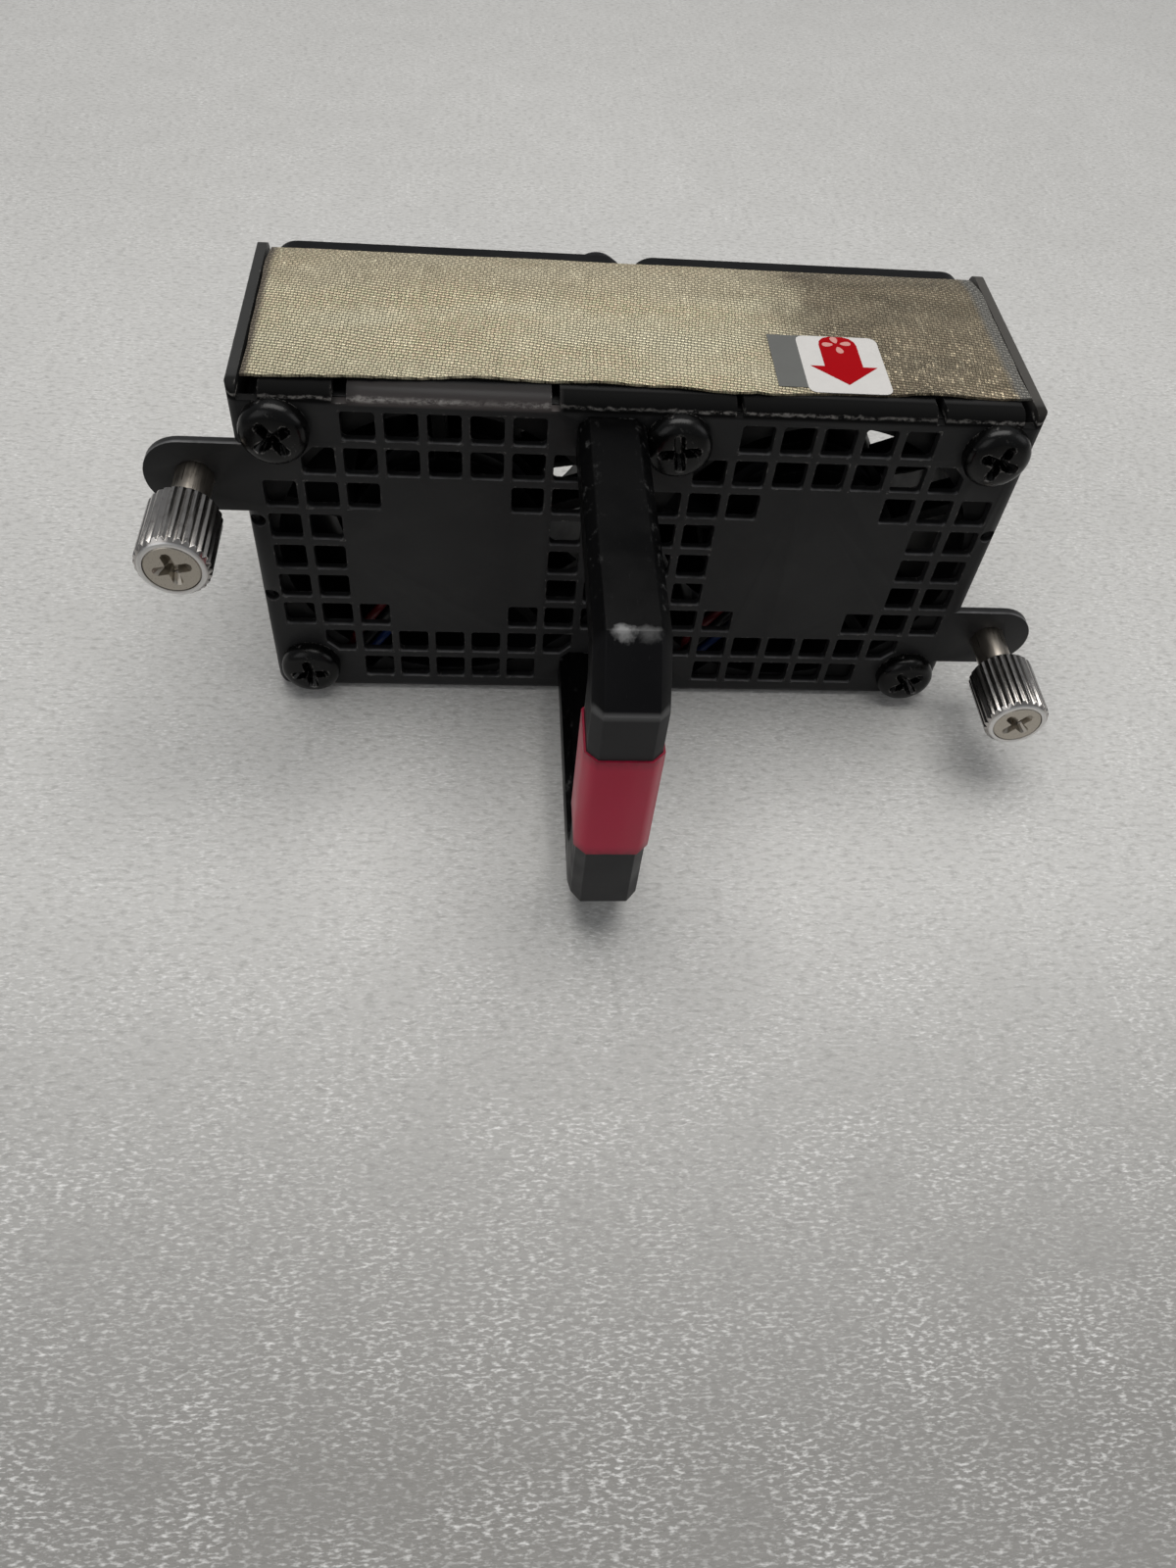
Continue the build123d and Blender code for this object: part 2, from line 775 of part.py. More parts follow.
def make_connector(side, x):
    middle_x = connector_x(x)
    base = sheet + touch
    back = connector_front + connector_length
    sockets = [
        (middle_x + (index - (lead_count - 1) / 2) * lead_pitch, fan_z - lead_channel_z)
        for index in range(lead_count)
    ]
    with BuildPart() as housing:
        with BuildSketch(Plane.XY.offset(base)):
            with Locations((middle_x, lug_y)):
                Rectangle(connector_width, connector_length)
        extrude(amount=connector_height)
        chamfer(housing.edges().filter_by(Axis.Y).group_by(Axis.Z)[-1], connector_margin / 2)
        with BuildSketch(Plane.XY.offset(base)):
            with Locations((middle_x + lug_shift, lug_y)):
                Rectangle(lug_length, lug_length)
                Circle(lug_screw_radius + touch, mode=Mode.SUBTRACT)
        extrude(amount=lug_thickness)
        with BuildSketch(front_plane(back)):
            with Locations(*sockets):
                Rectangle(contact_size + 2 * touch, contact_size + 2 * touch)
        extrude(amount=contact_depth + contact_recess + touch, mode=Mode.SUBTRACT)
    save(housing.part, f"{side}_connector")
    with BuildPart() as contacts:
        with BuildSketch(front_plane(back - contact_recess)):
            with Locations(*sockets):
                Rectangle(contact_size, contact_size)
        extrude(amount=contact_depth)
    save(contacts.part, f"{side}_contacts")


def make_connector_screws():
    head_base = sheet + lug_thickness + 2 * touch
    with BuildPart() as screws:
        for radius, height in ((lug_head_radius, lug_head_height), (lug_screw_radius, -head_base)):
            with BuildSketch(Plane.XY.offset(head_base)):
                with Locations(*lug_points()):
                    Circle(radius)
            extrude(amount=height)
    save(screws.part, "connector_screws")


make_tray()
make_handle()
make_handle_band()
make_fan_screws()
make_handle_screws()
make_gasket()
make_connector_screws()
for side_name, fan_middle in fan_places.items():
    make_fan_frame(side_name, fan_middle)
    make_bearings(side_name, fan_middle)
    make_stator(side_name, fan_middle)
    make_impeller(side_name, fan_middle)
    make_rotor(side_name, fan_middle)
    make_leads(side_name, fan_middle)
    make_connector(side_name, fan_middle)
for side_name, (side_sign, ear_middle_z) in ear_places.items():
    knob_x = side_sign * (tray_width / 2 + thumbscrew_offset)
    make_retainer(side_name, knob_x, ear_middle_z)
    make_knob(side_name, knob_x, ear_middle_z)
    make_captive_screw(side_name, knob_x, ear_middle_z)
    make_spring(side_name, knob_x, ear_middle_z)
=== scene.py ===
"""Looks of the switch fan tray: materials, rounded edges, detailed screws, gasket, label and studio."""

from math import cos, exp, pi, radians, sin

import bmesh
import bpy
from mathutils import Matrix, Vector, noise


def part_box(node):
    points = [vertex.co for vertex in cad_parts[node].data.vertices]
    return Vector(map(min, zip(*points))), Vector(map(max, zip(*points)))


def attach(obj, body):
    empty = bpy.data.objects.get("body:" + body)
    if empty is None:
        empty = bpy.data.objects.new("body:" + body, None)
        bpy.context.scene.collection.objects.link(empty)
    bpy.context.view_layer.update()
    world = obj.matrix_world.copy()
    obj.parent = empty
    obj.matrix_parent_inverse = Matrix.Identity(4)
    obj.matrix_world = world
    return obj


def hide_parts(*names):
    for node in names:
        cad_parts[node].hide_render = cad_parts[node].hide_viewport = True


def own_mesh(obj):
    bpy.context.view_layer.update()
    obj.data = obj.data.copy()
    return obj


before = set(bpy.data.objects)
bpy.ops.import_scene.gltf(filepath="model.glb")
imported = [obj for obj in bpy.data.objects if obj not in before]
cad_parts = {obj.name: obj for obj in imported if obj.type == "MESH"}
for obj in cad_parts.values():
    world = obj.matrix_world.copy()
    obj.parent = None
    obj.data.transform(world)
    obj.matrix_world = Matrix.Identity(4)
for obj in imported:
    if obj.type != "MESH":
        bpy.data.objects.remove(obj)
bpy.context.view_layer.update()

MM = 0.001
X, Y, Z = 0, 1, 2

# Sizes in millimetres, in the row frame: X to the right, Y to the rear, Z up
SHEET = 1.0
SCREW_SPACING = 32.0
SCREW_RADIUS = 1.5
SCREW_LENGTH = 9.0
HEAD_RADIUS = 3.3
HEAD_HEIGHT = 2.0
HANDLE_HEAD_HEIGHT = 1.8
CONNECTOR_HEAD_HEIGHT = 0.8
CONNECTOR_SCREW_RADIUS = 1.0
CAPTIVE_RADIUS = 1.3
CAPTIVE_NECK = 0.95
CAPTIVE_THREAD = 5.6
CAPTIVE_PITCH = 0.45
CAPTIVE_DISC_DEPTH = 0.87
CAPTIVE_CHAMFER = 0.12
SPRING_WIRE = 0.17
SPRING_TURNS = 5
WINDING_PITCH = 0.25

# Cross recesses: span, slot width and depth, then a slot's sections on the way down (height over the
# head, and shares of the depth, the span and the width), the share cut off its corners, and the turns
HEAD_CROSS = (4.3, 0.95, 1.5)
HANDLE_CROSS = (3.8, 0.85, 1.3)
CONNECTOR_CROSS = (2.0, 0.5, 0.6)
CAPTIVE_CROSS = (3.7, 0.85, 1.2)
CROSS_SECTIONS = (
    (0.3, 0.0, 1.15, 1.45),
    (0.0, 0.0, 1.0, 1.15),
    (0.0, 0.3, 0.84, 0.9),
    (0.0, 1.0, 0.46, 0.55),
)
CROSS_CORNER = 0.3
HEAD_TURNS = (8, 38, 71)
CAPTIVE_TURNS = {"left": 12, "right": 50}

# Fillets in the grille's holes: let into the walls by SUNK, and PROUD of both faces of the sheet; none
# are made within the margins at the ends and bends of the face
CORNER_RADIUS = 0.5
CORNER_RIM = 0.1
CORNER_SUNK = 0.15
CORNER_PROUD = 0.004
EDGE_MARGIN = 0.5
BEND_MARGIN = 1.5

# Gasket: how its front edge lifts and wanders, and lies flat near the label, its weave, and how its
# rear edge sinks
FABRIC_THICKNESS = 0.25
FABRIC_LIFT = 0.35
FABRIC_WANDER = 0.25
FABRIC_EDGE = 3.0
FABRIC_GRID = (152, 56)
LABEL_HOLD = 2.5
WEAVE_PITCH = 0.34
WEAVE_SWAY = 0.12
WEAVE_TURN = 8
WEAVE_STRETCH = 0.75
WEAVE_ROWS = 0.4
GASKET_SHORT = 0.6
REAR_SINK = 0.7
REAR_REACH = 4.5
FOAM_ROUNDING = 0.35

# Label, with a rotor mark of leaves that each have an angle and a distance from the mark's middle
LABEL_SPLIT = 2.9
LABEL_ROUNDING = 0.9
GREY_ROUNDING = 0.1
GREY_FRONT = 0.8
GREY_OVERLAP = 1.5
LABEL_THICKNESS = 0.06
GREY_THICKNESS = 0.04
ARROW_THICKNESS = 0.02
ARROW_LENGTH = 3.1
ARROW_HALF_WIDTH = 3.4
TAIL_HALF_WIDTH = 1.95
LEAF_LENGTH = 1.15
LEAF_WIDTH = 0.72
LEAVES = ((100, 0.75), (186, 0.95), (8, 0.95), (278, 1.05))

# Rounding of the CAD nodes, with angles in degrees
WELD_GAP = 0.001
FLAT_ANGLE = 0.5
BEVEL_ANGLE = 35

# Steps round a turned piece, a fillet, a label's corner, a leaf, a spring's turn and its wire
ROUND_STEPS = 64
CORNER_STEPS = 5
LABEL_STEPS = 6
LEAF_STEPS = 16
SPRING_STEPS = 20
WIRE_STEPS = 8

# Floor, and the photograph's camera
FLOOR_SIZE = 3000
FLOOR_DROP = 0.02
CAMERA_PLACE = (-15.22, -108.77, 104.75)
CAMERA_FORWARD = (0.0884, 0.6086, -0.7885)
CAMERA_RIGHT = (0.9961, -0.0476, 0.0748)
CAMERA_LENS = 26.76

SIDES = ("left", "right")


def box_mm(node):
    """Lowest and highest corner of a CAD node, in millimetres."""
    low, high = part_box(node)
    return low / MM, high / MM


class Shader:
    """A node material whose textures are measured in millimetres of the row frame.

    The color given here is the plain one, for a viewer that doesn't follow the nodes.
    """

    def __init__(self, name, color, roughness, metallic=0.0, specular=0.5):
        self.material = bpy.data.materials.new(name)
        self.material.use_nodes = True
        self.tree = self.material.node_tree
        self.surface = self.tree.nodes["Principled BSDF"]
        self.color(color)
        self.roughness(roughness)
        self.metallic(metallic)
        self.feed(self.surface.inputs["Specular IOR Level"], specular)
        coordinates = self.add("ShaderNodeTexCoord").outputs["Object"]
        scale = self.add("ShaderNodeVectorMath", operation="SCALE")
        scale.inputs["Scale"].default_value = 1 / MM
        self.link(coordinates, scale.inputs[0])
        self.place = scale.outputs[0]

    def add(self, kind, **settings):
        node = self.tree.nodes.new(kind)
        for key, value in settings.items():
            setattr(node, key, value)
        return node

    def link(self, source, target):
        self.tree.links.new(source, target)

    def feed(self, target, value):
        """Give a socket a link or a plain value."""
        if isinstance(value, bpy.types.NodeSocket):
            self.link(value, target)
        elif hasattr(value, "__len__") and len(value) == 3 and len(target.default_value) == 4:
            target.default_value = (*value, 1.0)
        else:
            target.default_value = value

    def math(self, operation, first, *others):
        """An operation on one value, or carried through several from the left."""
        for other in others or (0.0,):
            node = self.add("ShaderNodeMath", operation=operation)
            self.feed(node.inputs[0], first)
            self.feed(node.inputs[1], other)
            first = node.outputs[0]
        return first

    def product(self, *values):
        return self.math("MULTIPLY", *values)

    def greatest(self, *values):
        return self.math("MAXIMUM", *values)

    def noise(self, per_mm, detail=3.0, stretch=(1, 1, 1), rough=0.5):
        """Noise with this many features a millimetre, drawn out along an axis by stretch."""
        mapping = self.add("ShaderNodeMapping")
        mapping.inputs["Scale"].default_value = stretch
        self.link(self.place, mapping.inputs["Vector"])
        node = self.add("ShaderNodeTexNoise")
        node.inputs["Scale"].default_value = per_mm
        node.inputs["Detail"].default_value = detail
        node.inputs["Roughness"].default_value = rough
        self.link(mapping.outputs[0], node.inputs["Vector"])
        return node.outputs["Fac"]

    def range(self, value, low, high, to_low=0.0, to_high=1.0):
        node = self.add("ShaderNodeMapRange")
        for index, entry in enumerate((value, low, high, to_low, to_high)):
            self.feed(node.inputs[index], entry)
        return node.outputs[0]

    def mix(self, factor, first, second):
        """A color between two others."""
        node = self.add("ShaderNodeMix", data_type="RGBA")
        for index, entry in ((0, factor), (6, first), (7, second)):
            self.feed(node.inputs[index], entry)
        return node.outputs[2]

    def mix_value(self, factor, first, second):
        """A number between two others."""
        node = self.add("ShaderNodeMix", data_type="FLOAT")
        for index, entry in ((0, factor), (2, first), (3, second)):
            self.feed(node.inputs[index], entry)
        return node.outputs[0]

    def axis(self, index):
        """One coordinate in millimetres."""
        node = self.add("ShaderNodeSeparateXYZ")
        self.link(self.place, node.inputs[0])
        return node.outputs[index]

    def along(self, index, start, end, to_low=0.0, to_high=1.0):
        """A value that changes from one place on an axis to another, and is level outside them."""
        return self.range(self.axis(index), start, end, to_low, to_high)

    def away(self, index, place):
        """The distance from a place on an axis."""
        return self.math("ABSOLUTE", self.math("SUBTRACT", self.axis(index), place))

    def bump(self, height, distance, strength=1.0):
        """Relief of this depth in millimetres, on top of any relief given before."""
        node = self.add("ShaderNodeBump")
        node.inputs["Strength"].default_value = strength
        node.inputs["Distance"].default_value = distance * MM
        self.link(height, node.inputs["Height"])
        if self.surface.inputs["Normal"].is_linked:
            self.link(self.surface.inputs["Normal"].links[0].from_socket, node.inputs["Normal"])
        self.link(node.outputs[0], self.surface.inputs["Normal"])

    def edge(self, radius):
        """0 on flats, towards 1 on edges that stick out, within this radius."""
        bevel = self.add("ShaderNodeBevel", samples=6)
        bevel.inputs["Radius"].default_value = radius * MM
        geometry = self.add("ShaderNodeNewGeometry")
        dot = self.add("ShaderNodeVectorMath", operation="DOT_PRODUCT")
        self.link(bevel.outputs[0], dot.inputs[0])
        self.link(geometry.outputs["Normal"], dot.inputs[1])
        return self.range(dot.outputs["Value"], 0.99, 0.85)

    def color(self, value):
        self.feed(self.surface.inputs["Base Color"], value)

    def roughness(self, value):
        self.feed(self.surface.inputs["Roughness"], value)

    def metallic(self, value):
        self.feed(self.surface.inputs["Metallic"], value)


def toned(color, factor):
    """A color made darker or lighter."""
    return tuple(factor * part for part in color)


def screw_material():
    """Black screws: a fine grain, faint dust, and steel bared along the edges and in chips."""
    black, dusty, steel = (0.002, 0.002, 0.002), (0.0064, 0.0064, 0.0064), (0.26, 0.25, 0.24)
    screw = Shader("screw_black", black, 0.22, specular=0.25)
    scuffs = screw.noise(1.6, detail=6, rough=0.7)
    rubbed = screw.product(screw.edge(0.3), screw.range(scuffs, 0.49, 0.59))
    chips = screw.range(screw.noise(0.9, detail=9, rough=0.8), 0.6, 0.68, 0.0, 0.4)
    worn = screw.greatest(rubbed, chips)
    dust = screw.range(screw.noise(0.5, detail=8, rough=0.75), 0.52, 0.8, 0.0, 0.3)
    screw.color(screw.mix(worn, screw.mix(dust, black, dusty), steel))
    screw.metallic(screw.product(worn, 0.7))
    screw.roughness(screw.range(screw.noise(0.22, detail=5, rough=0.6), 0.3, 0.7, 0.15, 0.31))
    screw.bump(screw.noise(7.0, detail=2), 0.012, 0.7)
    screw.bump(screw.noise(0.35, detail=2), 0.03, 0.4)
    return screw.material


def tray_material():
    """The coat: painted shadow on the bends along the top of the face, with rubbed streaks along them
    that also paint a highlight, and painted light on the holes' ledges and the tops of the walls.
    """
    black, dusty, bare = (0.0195, 0.0195, 0.02), (0.032, 0.032, 0.031), (0.42, 0.4, 0.38)
    bend_painted_shadow, bend_low, bend_top_painted_shade = (0.001, 0.001, 0.001), (0.085, 0.074, 0.072), (0.02, 0.018, 0.018)
    ledge_painted_light, left_wall_painted_light, right_wall_painted_light = (0.13, 0.13, 0.133), (0.034, 0.034, 0.033), (0.07, 0.066, 0.06)
    coat = Shader("coat_tray", (0.012, 0.012, 0.0125), 0.42, specular=0.2)
    low, high = box_mm("tray")
    dust = coat.range(coat.noise(0.35, detail=8, rough=0.75), 0.5, 0.8, 0.0, 0.35)
    base = coat.mix(dust, black, dusty)

    # The bend over the face, in painted shadow under the gasket's edge: near black on every tab but the
    # middle one, which has lost most of its black and is painted darker towards its top as shade
    front = coat.along(Y, low.y + 2.2, low.y + 1.6)
    bend = coat.product(coat.along(Z, high.z - 1.6, high.z - 1.25), front)
    middle = coat.product(coat.along(X, -30, -27), coat.along(X, -8, -9))
    middle_worn_shaded = coat.mix(coat.along(Z, high.z - 1.0, high.z - 0.1), bend_low, bend_top_painted_shade)
    base = coat.mix(bend, base, coat.mix(middle, bend_painted_shadow, middle_worn_shaded))

    # Bare metal in broken streaks along that bend, which also stand in for a painted highlight along its
    # edge, and in chips on every edge
    wavy = coat.math("ADD", coat.axis(Z), coat.range(coat.noise(0.9, detail=6), 0.2, 0.8, -0.17, 0.17))
    line = coat.math("ABSOLUTE", coat.math("SUBTRACT", wavy, high.z - 0.85))
    rim = coat.product(coat.range(line, coat.range(middle, 0.0, 1.0, 0.2, 0.36), 0.04), front)
    patches = coat.range(coat.noise(0.16, detail=2), 0.36, 0.56, 0.35, 1.0)
    streaks = coat.range(coat.noise(1.3, detail=9, stretch=(1, 1.6, 1.6), rough=0.8), 0.44, 0.56)
    # The streaks are partly rubbed bare metal and partly a painted highlight along the bend
    rubbed = coat.product(rim, patches, streaks, coat.range(middle, 0.0, 1.0, 0.6, 1.0))
    scuffs = coat.noise(1.3, detail=7, rough=0.75)
    chipped = coat.product(coat.edge(0.28), coat.range(scuffs, 0.55, 0.65), 0.45)
    worn = coat.greatest(rubbed, chipped)

    # Painted light on the upward ledges of the holes and on the tops of the side walls, lighter and
    # warmer on the right
    normal = coat.add("ShaderNodeSeparateXYZ")
    coat.link(coat.add("ShaderNodeNewGeometry").outputs["Normal"], normal.inputs[0])
    lit_ledge = coat.product(
        coat.range(normal.outputs[Z], 0.25, 0.65),
        coat.along(Y, low.y + 0.45, low.y + 0.2),
        coat.along(Z, high.z - 1.8, high.z - 2.2),
        coat.range(coat.noise(0.5, detail=4), 0.3, 0.6, 0.35, 1.0),
    )
    base = coat.mix(lit_ledge, base, ledge_painted_light)
    outward = coat.away(X, 0.0)
    skin_low, skin_high = box_mm("gasket_fabric")
    skin_edge = max(abs(skin_low.x), skin_high.x)
    lit_wall_top = coat.product(
        coat.range(outward, skin_edge - 0.2, skin_edge + 0.1),
        coat.range(outward, skin_edge + 2.2, skin_edge + 1.9),
        coat.along(Z, high.z - 1.0, high.z - 0.12),
        coat.along(Y, low.y + 1.6, low.y + 3.2, 0.25, 1.0),
    )
    base = coat.mix(lit_wall_top, base, coat.mix(coat.along(X, -1, 1), left_wall_painted_light, right_wall_painted_light))

    coat.color(coat.mix(worn, base, bare))
    coat.metallic(coat.product(worn, 0.6))
    rough = coat.range(coat.noise(0.2, detail=5), 0.3, 0.7, 0.34, 0.5)
    coat.roughness(coat.mix_value(bend, rough, coat.range(middle, 0.0, 1.0, 0.95, 0.5)))
    coat.bump(coat.noise(6.0, detail=2), 0.012, 0.7)
    coat.bump(coat.noise(0.9, detail=6, rough=0.7), 0.03, 0.5)
    return coat.material


def plastic_material(name, color, roughness):
    """Moulded plastic: a fine spark-eroded grain, faint flow marks and rubbed edges."""
    plastic = Shader(name, color, roughness, specular=0.12)
    rubbed = plastic.product(plastic.edge(0.3), plastic.range(plastic.noise(1.1, detail=6), 0.45, 0.65))
    flow = plastic.mix(plastic.noise(0.12, detail=4), color, toned(color, 1.5))
    plastic.color(plastic.mix(rubbed, flow, tuple(min(0.9, 0.03 + part) for part in toned(color, 3))))
    blotches = plastic.noise(0.3, detail=5)
    plastic.roughness(plastic.range(blotches, 0.3, 0.7, roughness - 0.08, roughness + 0.08))
    plastic.bump(plastic.noise(5.0, detail=3), 0.01)
    return plastic.material


def handle_material():
    """Black moulded handle: scuffed along its corners, scratched down its length, in painted light and
    shade by face, with a painted highlight along the grip's top edge.
    """
    arm_shaded_black, tip_lit_black = (0.0006, 0.0006, 0.0007), (0.005, 0.005, 0.0056)
    grip_painted_light, brim_highlight_grey, scuff_grey = (0.042, 0.0415, 0.042), (0.1, 0.1, 0.1), (0.24, 0.24, 0.24)
    handle = Shader("plastic_handle", (0.002, 0.002, 0.0022), 0.3, specular=0.08)
    low, high = box_mm("handle")
    grip_top = high.z - 5.0
    corner_y = low.y + 5.0
    front = handle.along(Y, low.y + 1.6, low.y + 1.0)
    grip = handle.product(front, handle.along(Z, grip_top + 0.25, grip_top - 0.1))
    # Painted light and shade by face: darkest black on the arms, a little lighter at the tip, lighter
    # still on the grip's front face
    base = handle.mix(handle.along(Y, corner_y + 0.4, corner_y - 0.4), arm_shaded_black, tip_lit_black)
    base = handle.mix(grip, base, grip_painted_light)
    # Painted highlight along the grip's top edge
    brim_highlight = handle.product(handle.range(handle.away(Z, grip_top - 0.1), 0.45, 0.1), front)
    base = handle.mix(brim_highlight, base, brim_highlight_grey)

    scuffs = handle.noise(0.9, detail=9, stretch=(1, 0.45, 0.45), rough=0.75)
    rubbed = handle.product(handle.edge(0.4), handle.range(scuffs, 0.55, 0.63), 0.55)
    scratches = handle.noise(2.6, detail=5, stretch=(3.0, 0.12, 0.5), rough=0.7)
    lines = handle.range(scratches, 0.66, 0.76, 0.0, 0.16)
    arm = handle.along(Y, low.y + 6.5, low.y + 8.0)
    width = high.x - low.x
    flank = handle.range(handle.away(X, (low.x + high.x) / 2), 0.2 * width, 0.4 * width)
    nicks = handle.noise(0.7, detail=8, stretch=(1, 0.7, 1), rough=0.75)
    nicks = handle.product(handle.range(nicks, 0.57, 0.7, 0.0, 0.24), arm, flank)
    worn = handle.greatest(rubbed, lines, nicks)

    # Two knocks on the upper corner, side by side, pale enough to double as a painted highlight on the
    # corner's rounding: bright at the left, faint at the right
    down = handle.math("DIVIDE", handle.away(Y, corner_y), 0.8)
    top = handle.along(Z, high.z - 1.3, high.z - 0.8)
    rough = handle.range(handle.noise(1.1, detail=7, rough=0.65), 0.3, 0.7, -0.3, 0.3)
    for centre, half, strength in ((low.x + 2.5, 1.25, 0.9), (high.x - 2.0, 1.3, 0.3)):
        across = handle.math("DIVIDE", handle.away(X, centre), half)
        squares = handle.math("ADD", handle.product(down, down), handle.product(across, across))
        spread = handle.math("ADD", handle.math("SQRT", squares), rough)
        worn = handle.greatest(worn, handle.product(handle.range(spread, 1.0, 0.3, 0.0, strength), top))

    handle.color(handle.mix(worn, base, scuff_grey))
    handle.roughness(handle.range(handle.noise(0.25, detail=6), 0.35, 0.65, 0.3, 0.5))
    handle.bump(handle.noise(4.0, detail=3), 0.01, 0.6)
    handle.bump(scuffs, 0.05, 0.35)
    return handle.material


def metal_material(name, color, roughness, streaks=(1, 1, 1), spots=0.0):
    """Bare or plated metal: turning marks drawn out by streaks, and darker spots of age."""
    metal = Shader(name, color, roughness, metallic=1.0)
    marks = metal.noise(3.0, detail=5, stretch=streaks)
    aged = metal.range(metal.noise(1.2, detail=7, rough=0.7), 0.55, 0.75, 0.0, spots)
    metal.color(metal.mix(aged, metal.mix(marks, toned(color, 0.82), color), toned(color, 0.35)))
    metal.roughness(metal.range(marks, 0.3, 0.7, roughness - 0.05, roughness + 0.1))
    metal.bump(marks, 0.006, 0.5)
    return metal.material


def knob_material():
    """Nickel plate: stained flutes painted darker as shade, and the ring round the screw's head turned to
    a pale satin painted lighter as lit from the front.
    """
    flute_shaded_dark, flute_shaded_pale, stain = (0.4, 0.38, 0.36), (0.54, 0.52, 0.5), (0.12, 0.1, 0.09)
    lit_satin_dark, lit_satin_pale = (0.66, 0.65, 0.64), (0.74, 0.73, 0.72)
    nickel = Shader("nickel_knob", (0.4, 0.36, 0.32), 0.2, metallic=1.0)
    low = box_mm("left_knob")[0]
    # The front face is painted lighter, as lit from the front; the flutes are painted darker as shade
    face = nickel.along(Y, low.y + 0.16, low.y + 0.05)
    marks = nickel.noise(3.0, detail=5, stretch=(1, 0.4, 1))
    stains = nickel.range(nickel.noise(1.2, detail=7, rough=0.7), 0.5, 0.75, 0.0, 0.6)
    stained_shaded_flutes = nickel.mix(stains, nickel.mix(marks, flute_shaded_dark, flute_shaded_pale), stain)
    nickel.color(nickel.mix(face, stained_shaded_flutes, nickel.mix(marks, lit_satin_dark, lit_satin_pale)))
    nickel.roughness(nickel.range(face, 0.0, 1.0, 0.2, 0.38))
    nickel.bump(marks, 0.006, 0.5)
    return nickel.material


def wire_material(name, color):
    """Soft insulation, a little uneven in tone."""
    wire = Shader(name, color, 0.38, specular=0.3)
    wire.color(wire.mix(wire.noise(0.8, detail=5), color, toned(color, 0.6)))
    wire.bump(wire.noise(2.0, detail=3), 0.02, 0.4)
    return wire.material


def band_material():
    """Red vinyl band: glossy, slightly wrinkled, dirtier towards its edges."""
    deep_red, red, dirt = (0.44, 0.009, 0.042), (0.52, 0.014, 0.06), (0.1, 0.01, 0.02)
    band = Shader("vinyl_band", (0.4, 0.01, 0.045), 0.3, specular=0.3)
    low, high = box_mm("handle_band")
    near = band.along(Z, low.z, low.z + 1.2, 1.0, 0.0)
    far = band.along(Z, high.z - 1.2, high.z)
    rim = band.product(band.greatest(near, far), band.noise(1.5, detail=6))
    band.color(band.mix(rim, band.mix(band.noise(0.15, detail=4), deep_red, red), dirt))
    band.roughness(band.range(band.noise(0.3, detail=3), 0.3, 0.7, 0.28, 0.36))
    band.bump(band.noise(0.12, detail=1, stretch=(1, 1, 0.35)), 0.08, 0.3)
    return band.material


def weave_height(fabric):
    """Height of a plain weave's threads, 0 to 1: the coordinates wander, and are turned and stretched."""
    sway = fabric.add("ShaderNodeTexNoise")
    sway.inputs["Scale"].default_value = WEAVE_SWAY
    wander = fabric.add("ShaderNodeVectorMath", operation="ADD")
    turn = fabric.add("ShaderNodeMapping")
    turn.inputs["Rotation"].default_value = (0, 0, radians(WEAVE_TURN))
    turn.inputs["Scale"].default_value = (1.0, WEAVE_STRETCH, 1.0)
    fabric.link(fabric.place, sway.inputs["Vector"])
    fabric.link(fabric.place, wander.inputs[0])
    fabric.link(sway.outputs["Color"], wander.inputs[1])
    fabric.link(wander.outputs[0], turn.inputs["Vector"])
    split = fabric.add("ShaderNodeSeparateXYZ")
    fabric.link(turn.outputs[0], split.inputs[0])
    phases = [fabric.product(split.outputs[index], pi / WEAVE_PITCH) for index in (X, Y)]
    across, along = (fabric.math("ABSOLUTE", fabric.math("SINE", phase)) for phase in phases)
    checker = fabric.add("ShaderNodeTexChecker")
    checker.inputs["Scale"].default_value = 1 / WEAVE_PITCH
    fabric.link(turn.outputs[0], checker.inputs["Vector"])
    height = fabric.mix_value(checker.outputs["Fac"], along, across)
    return fabric.mix_value(WEAVE_ROWS, height, along)


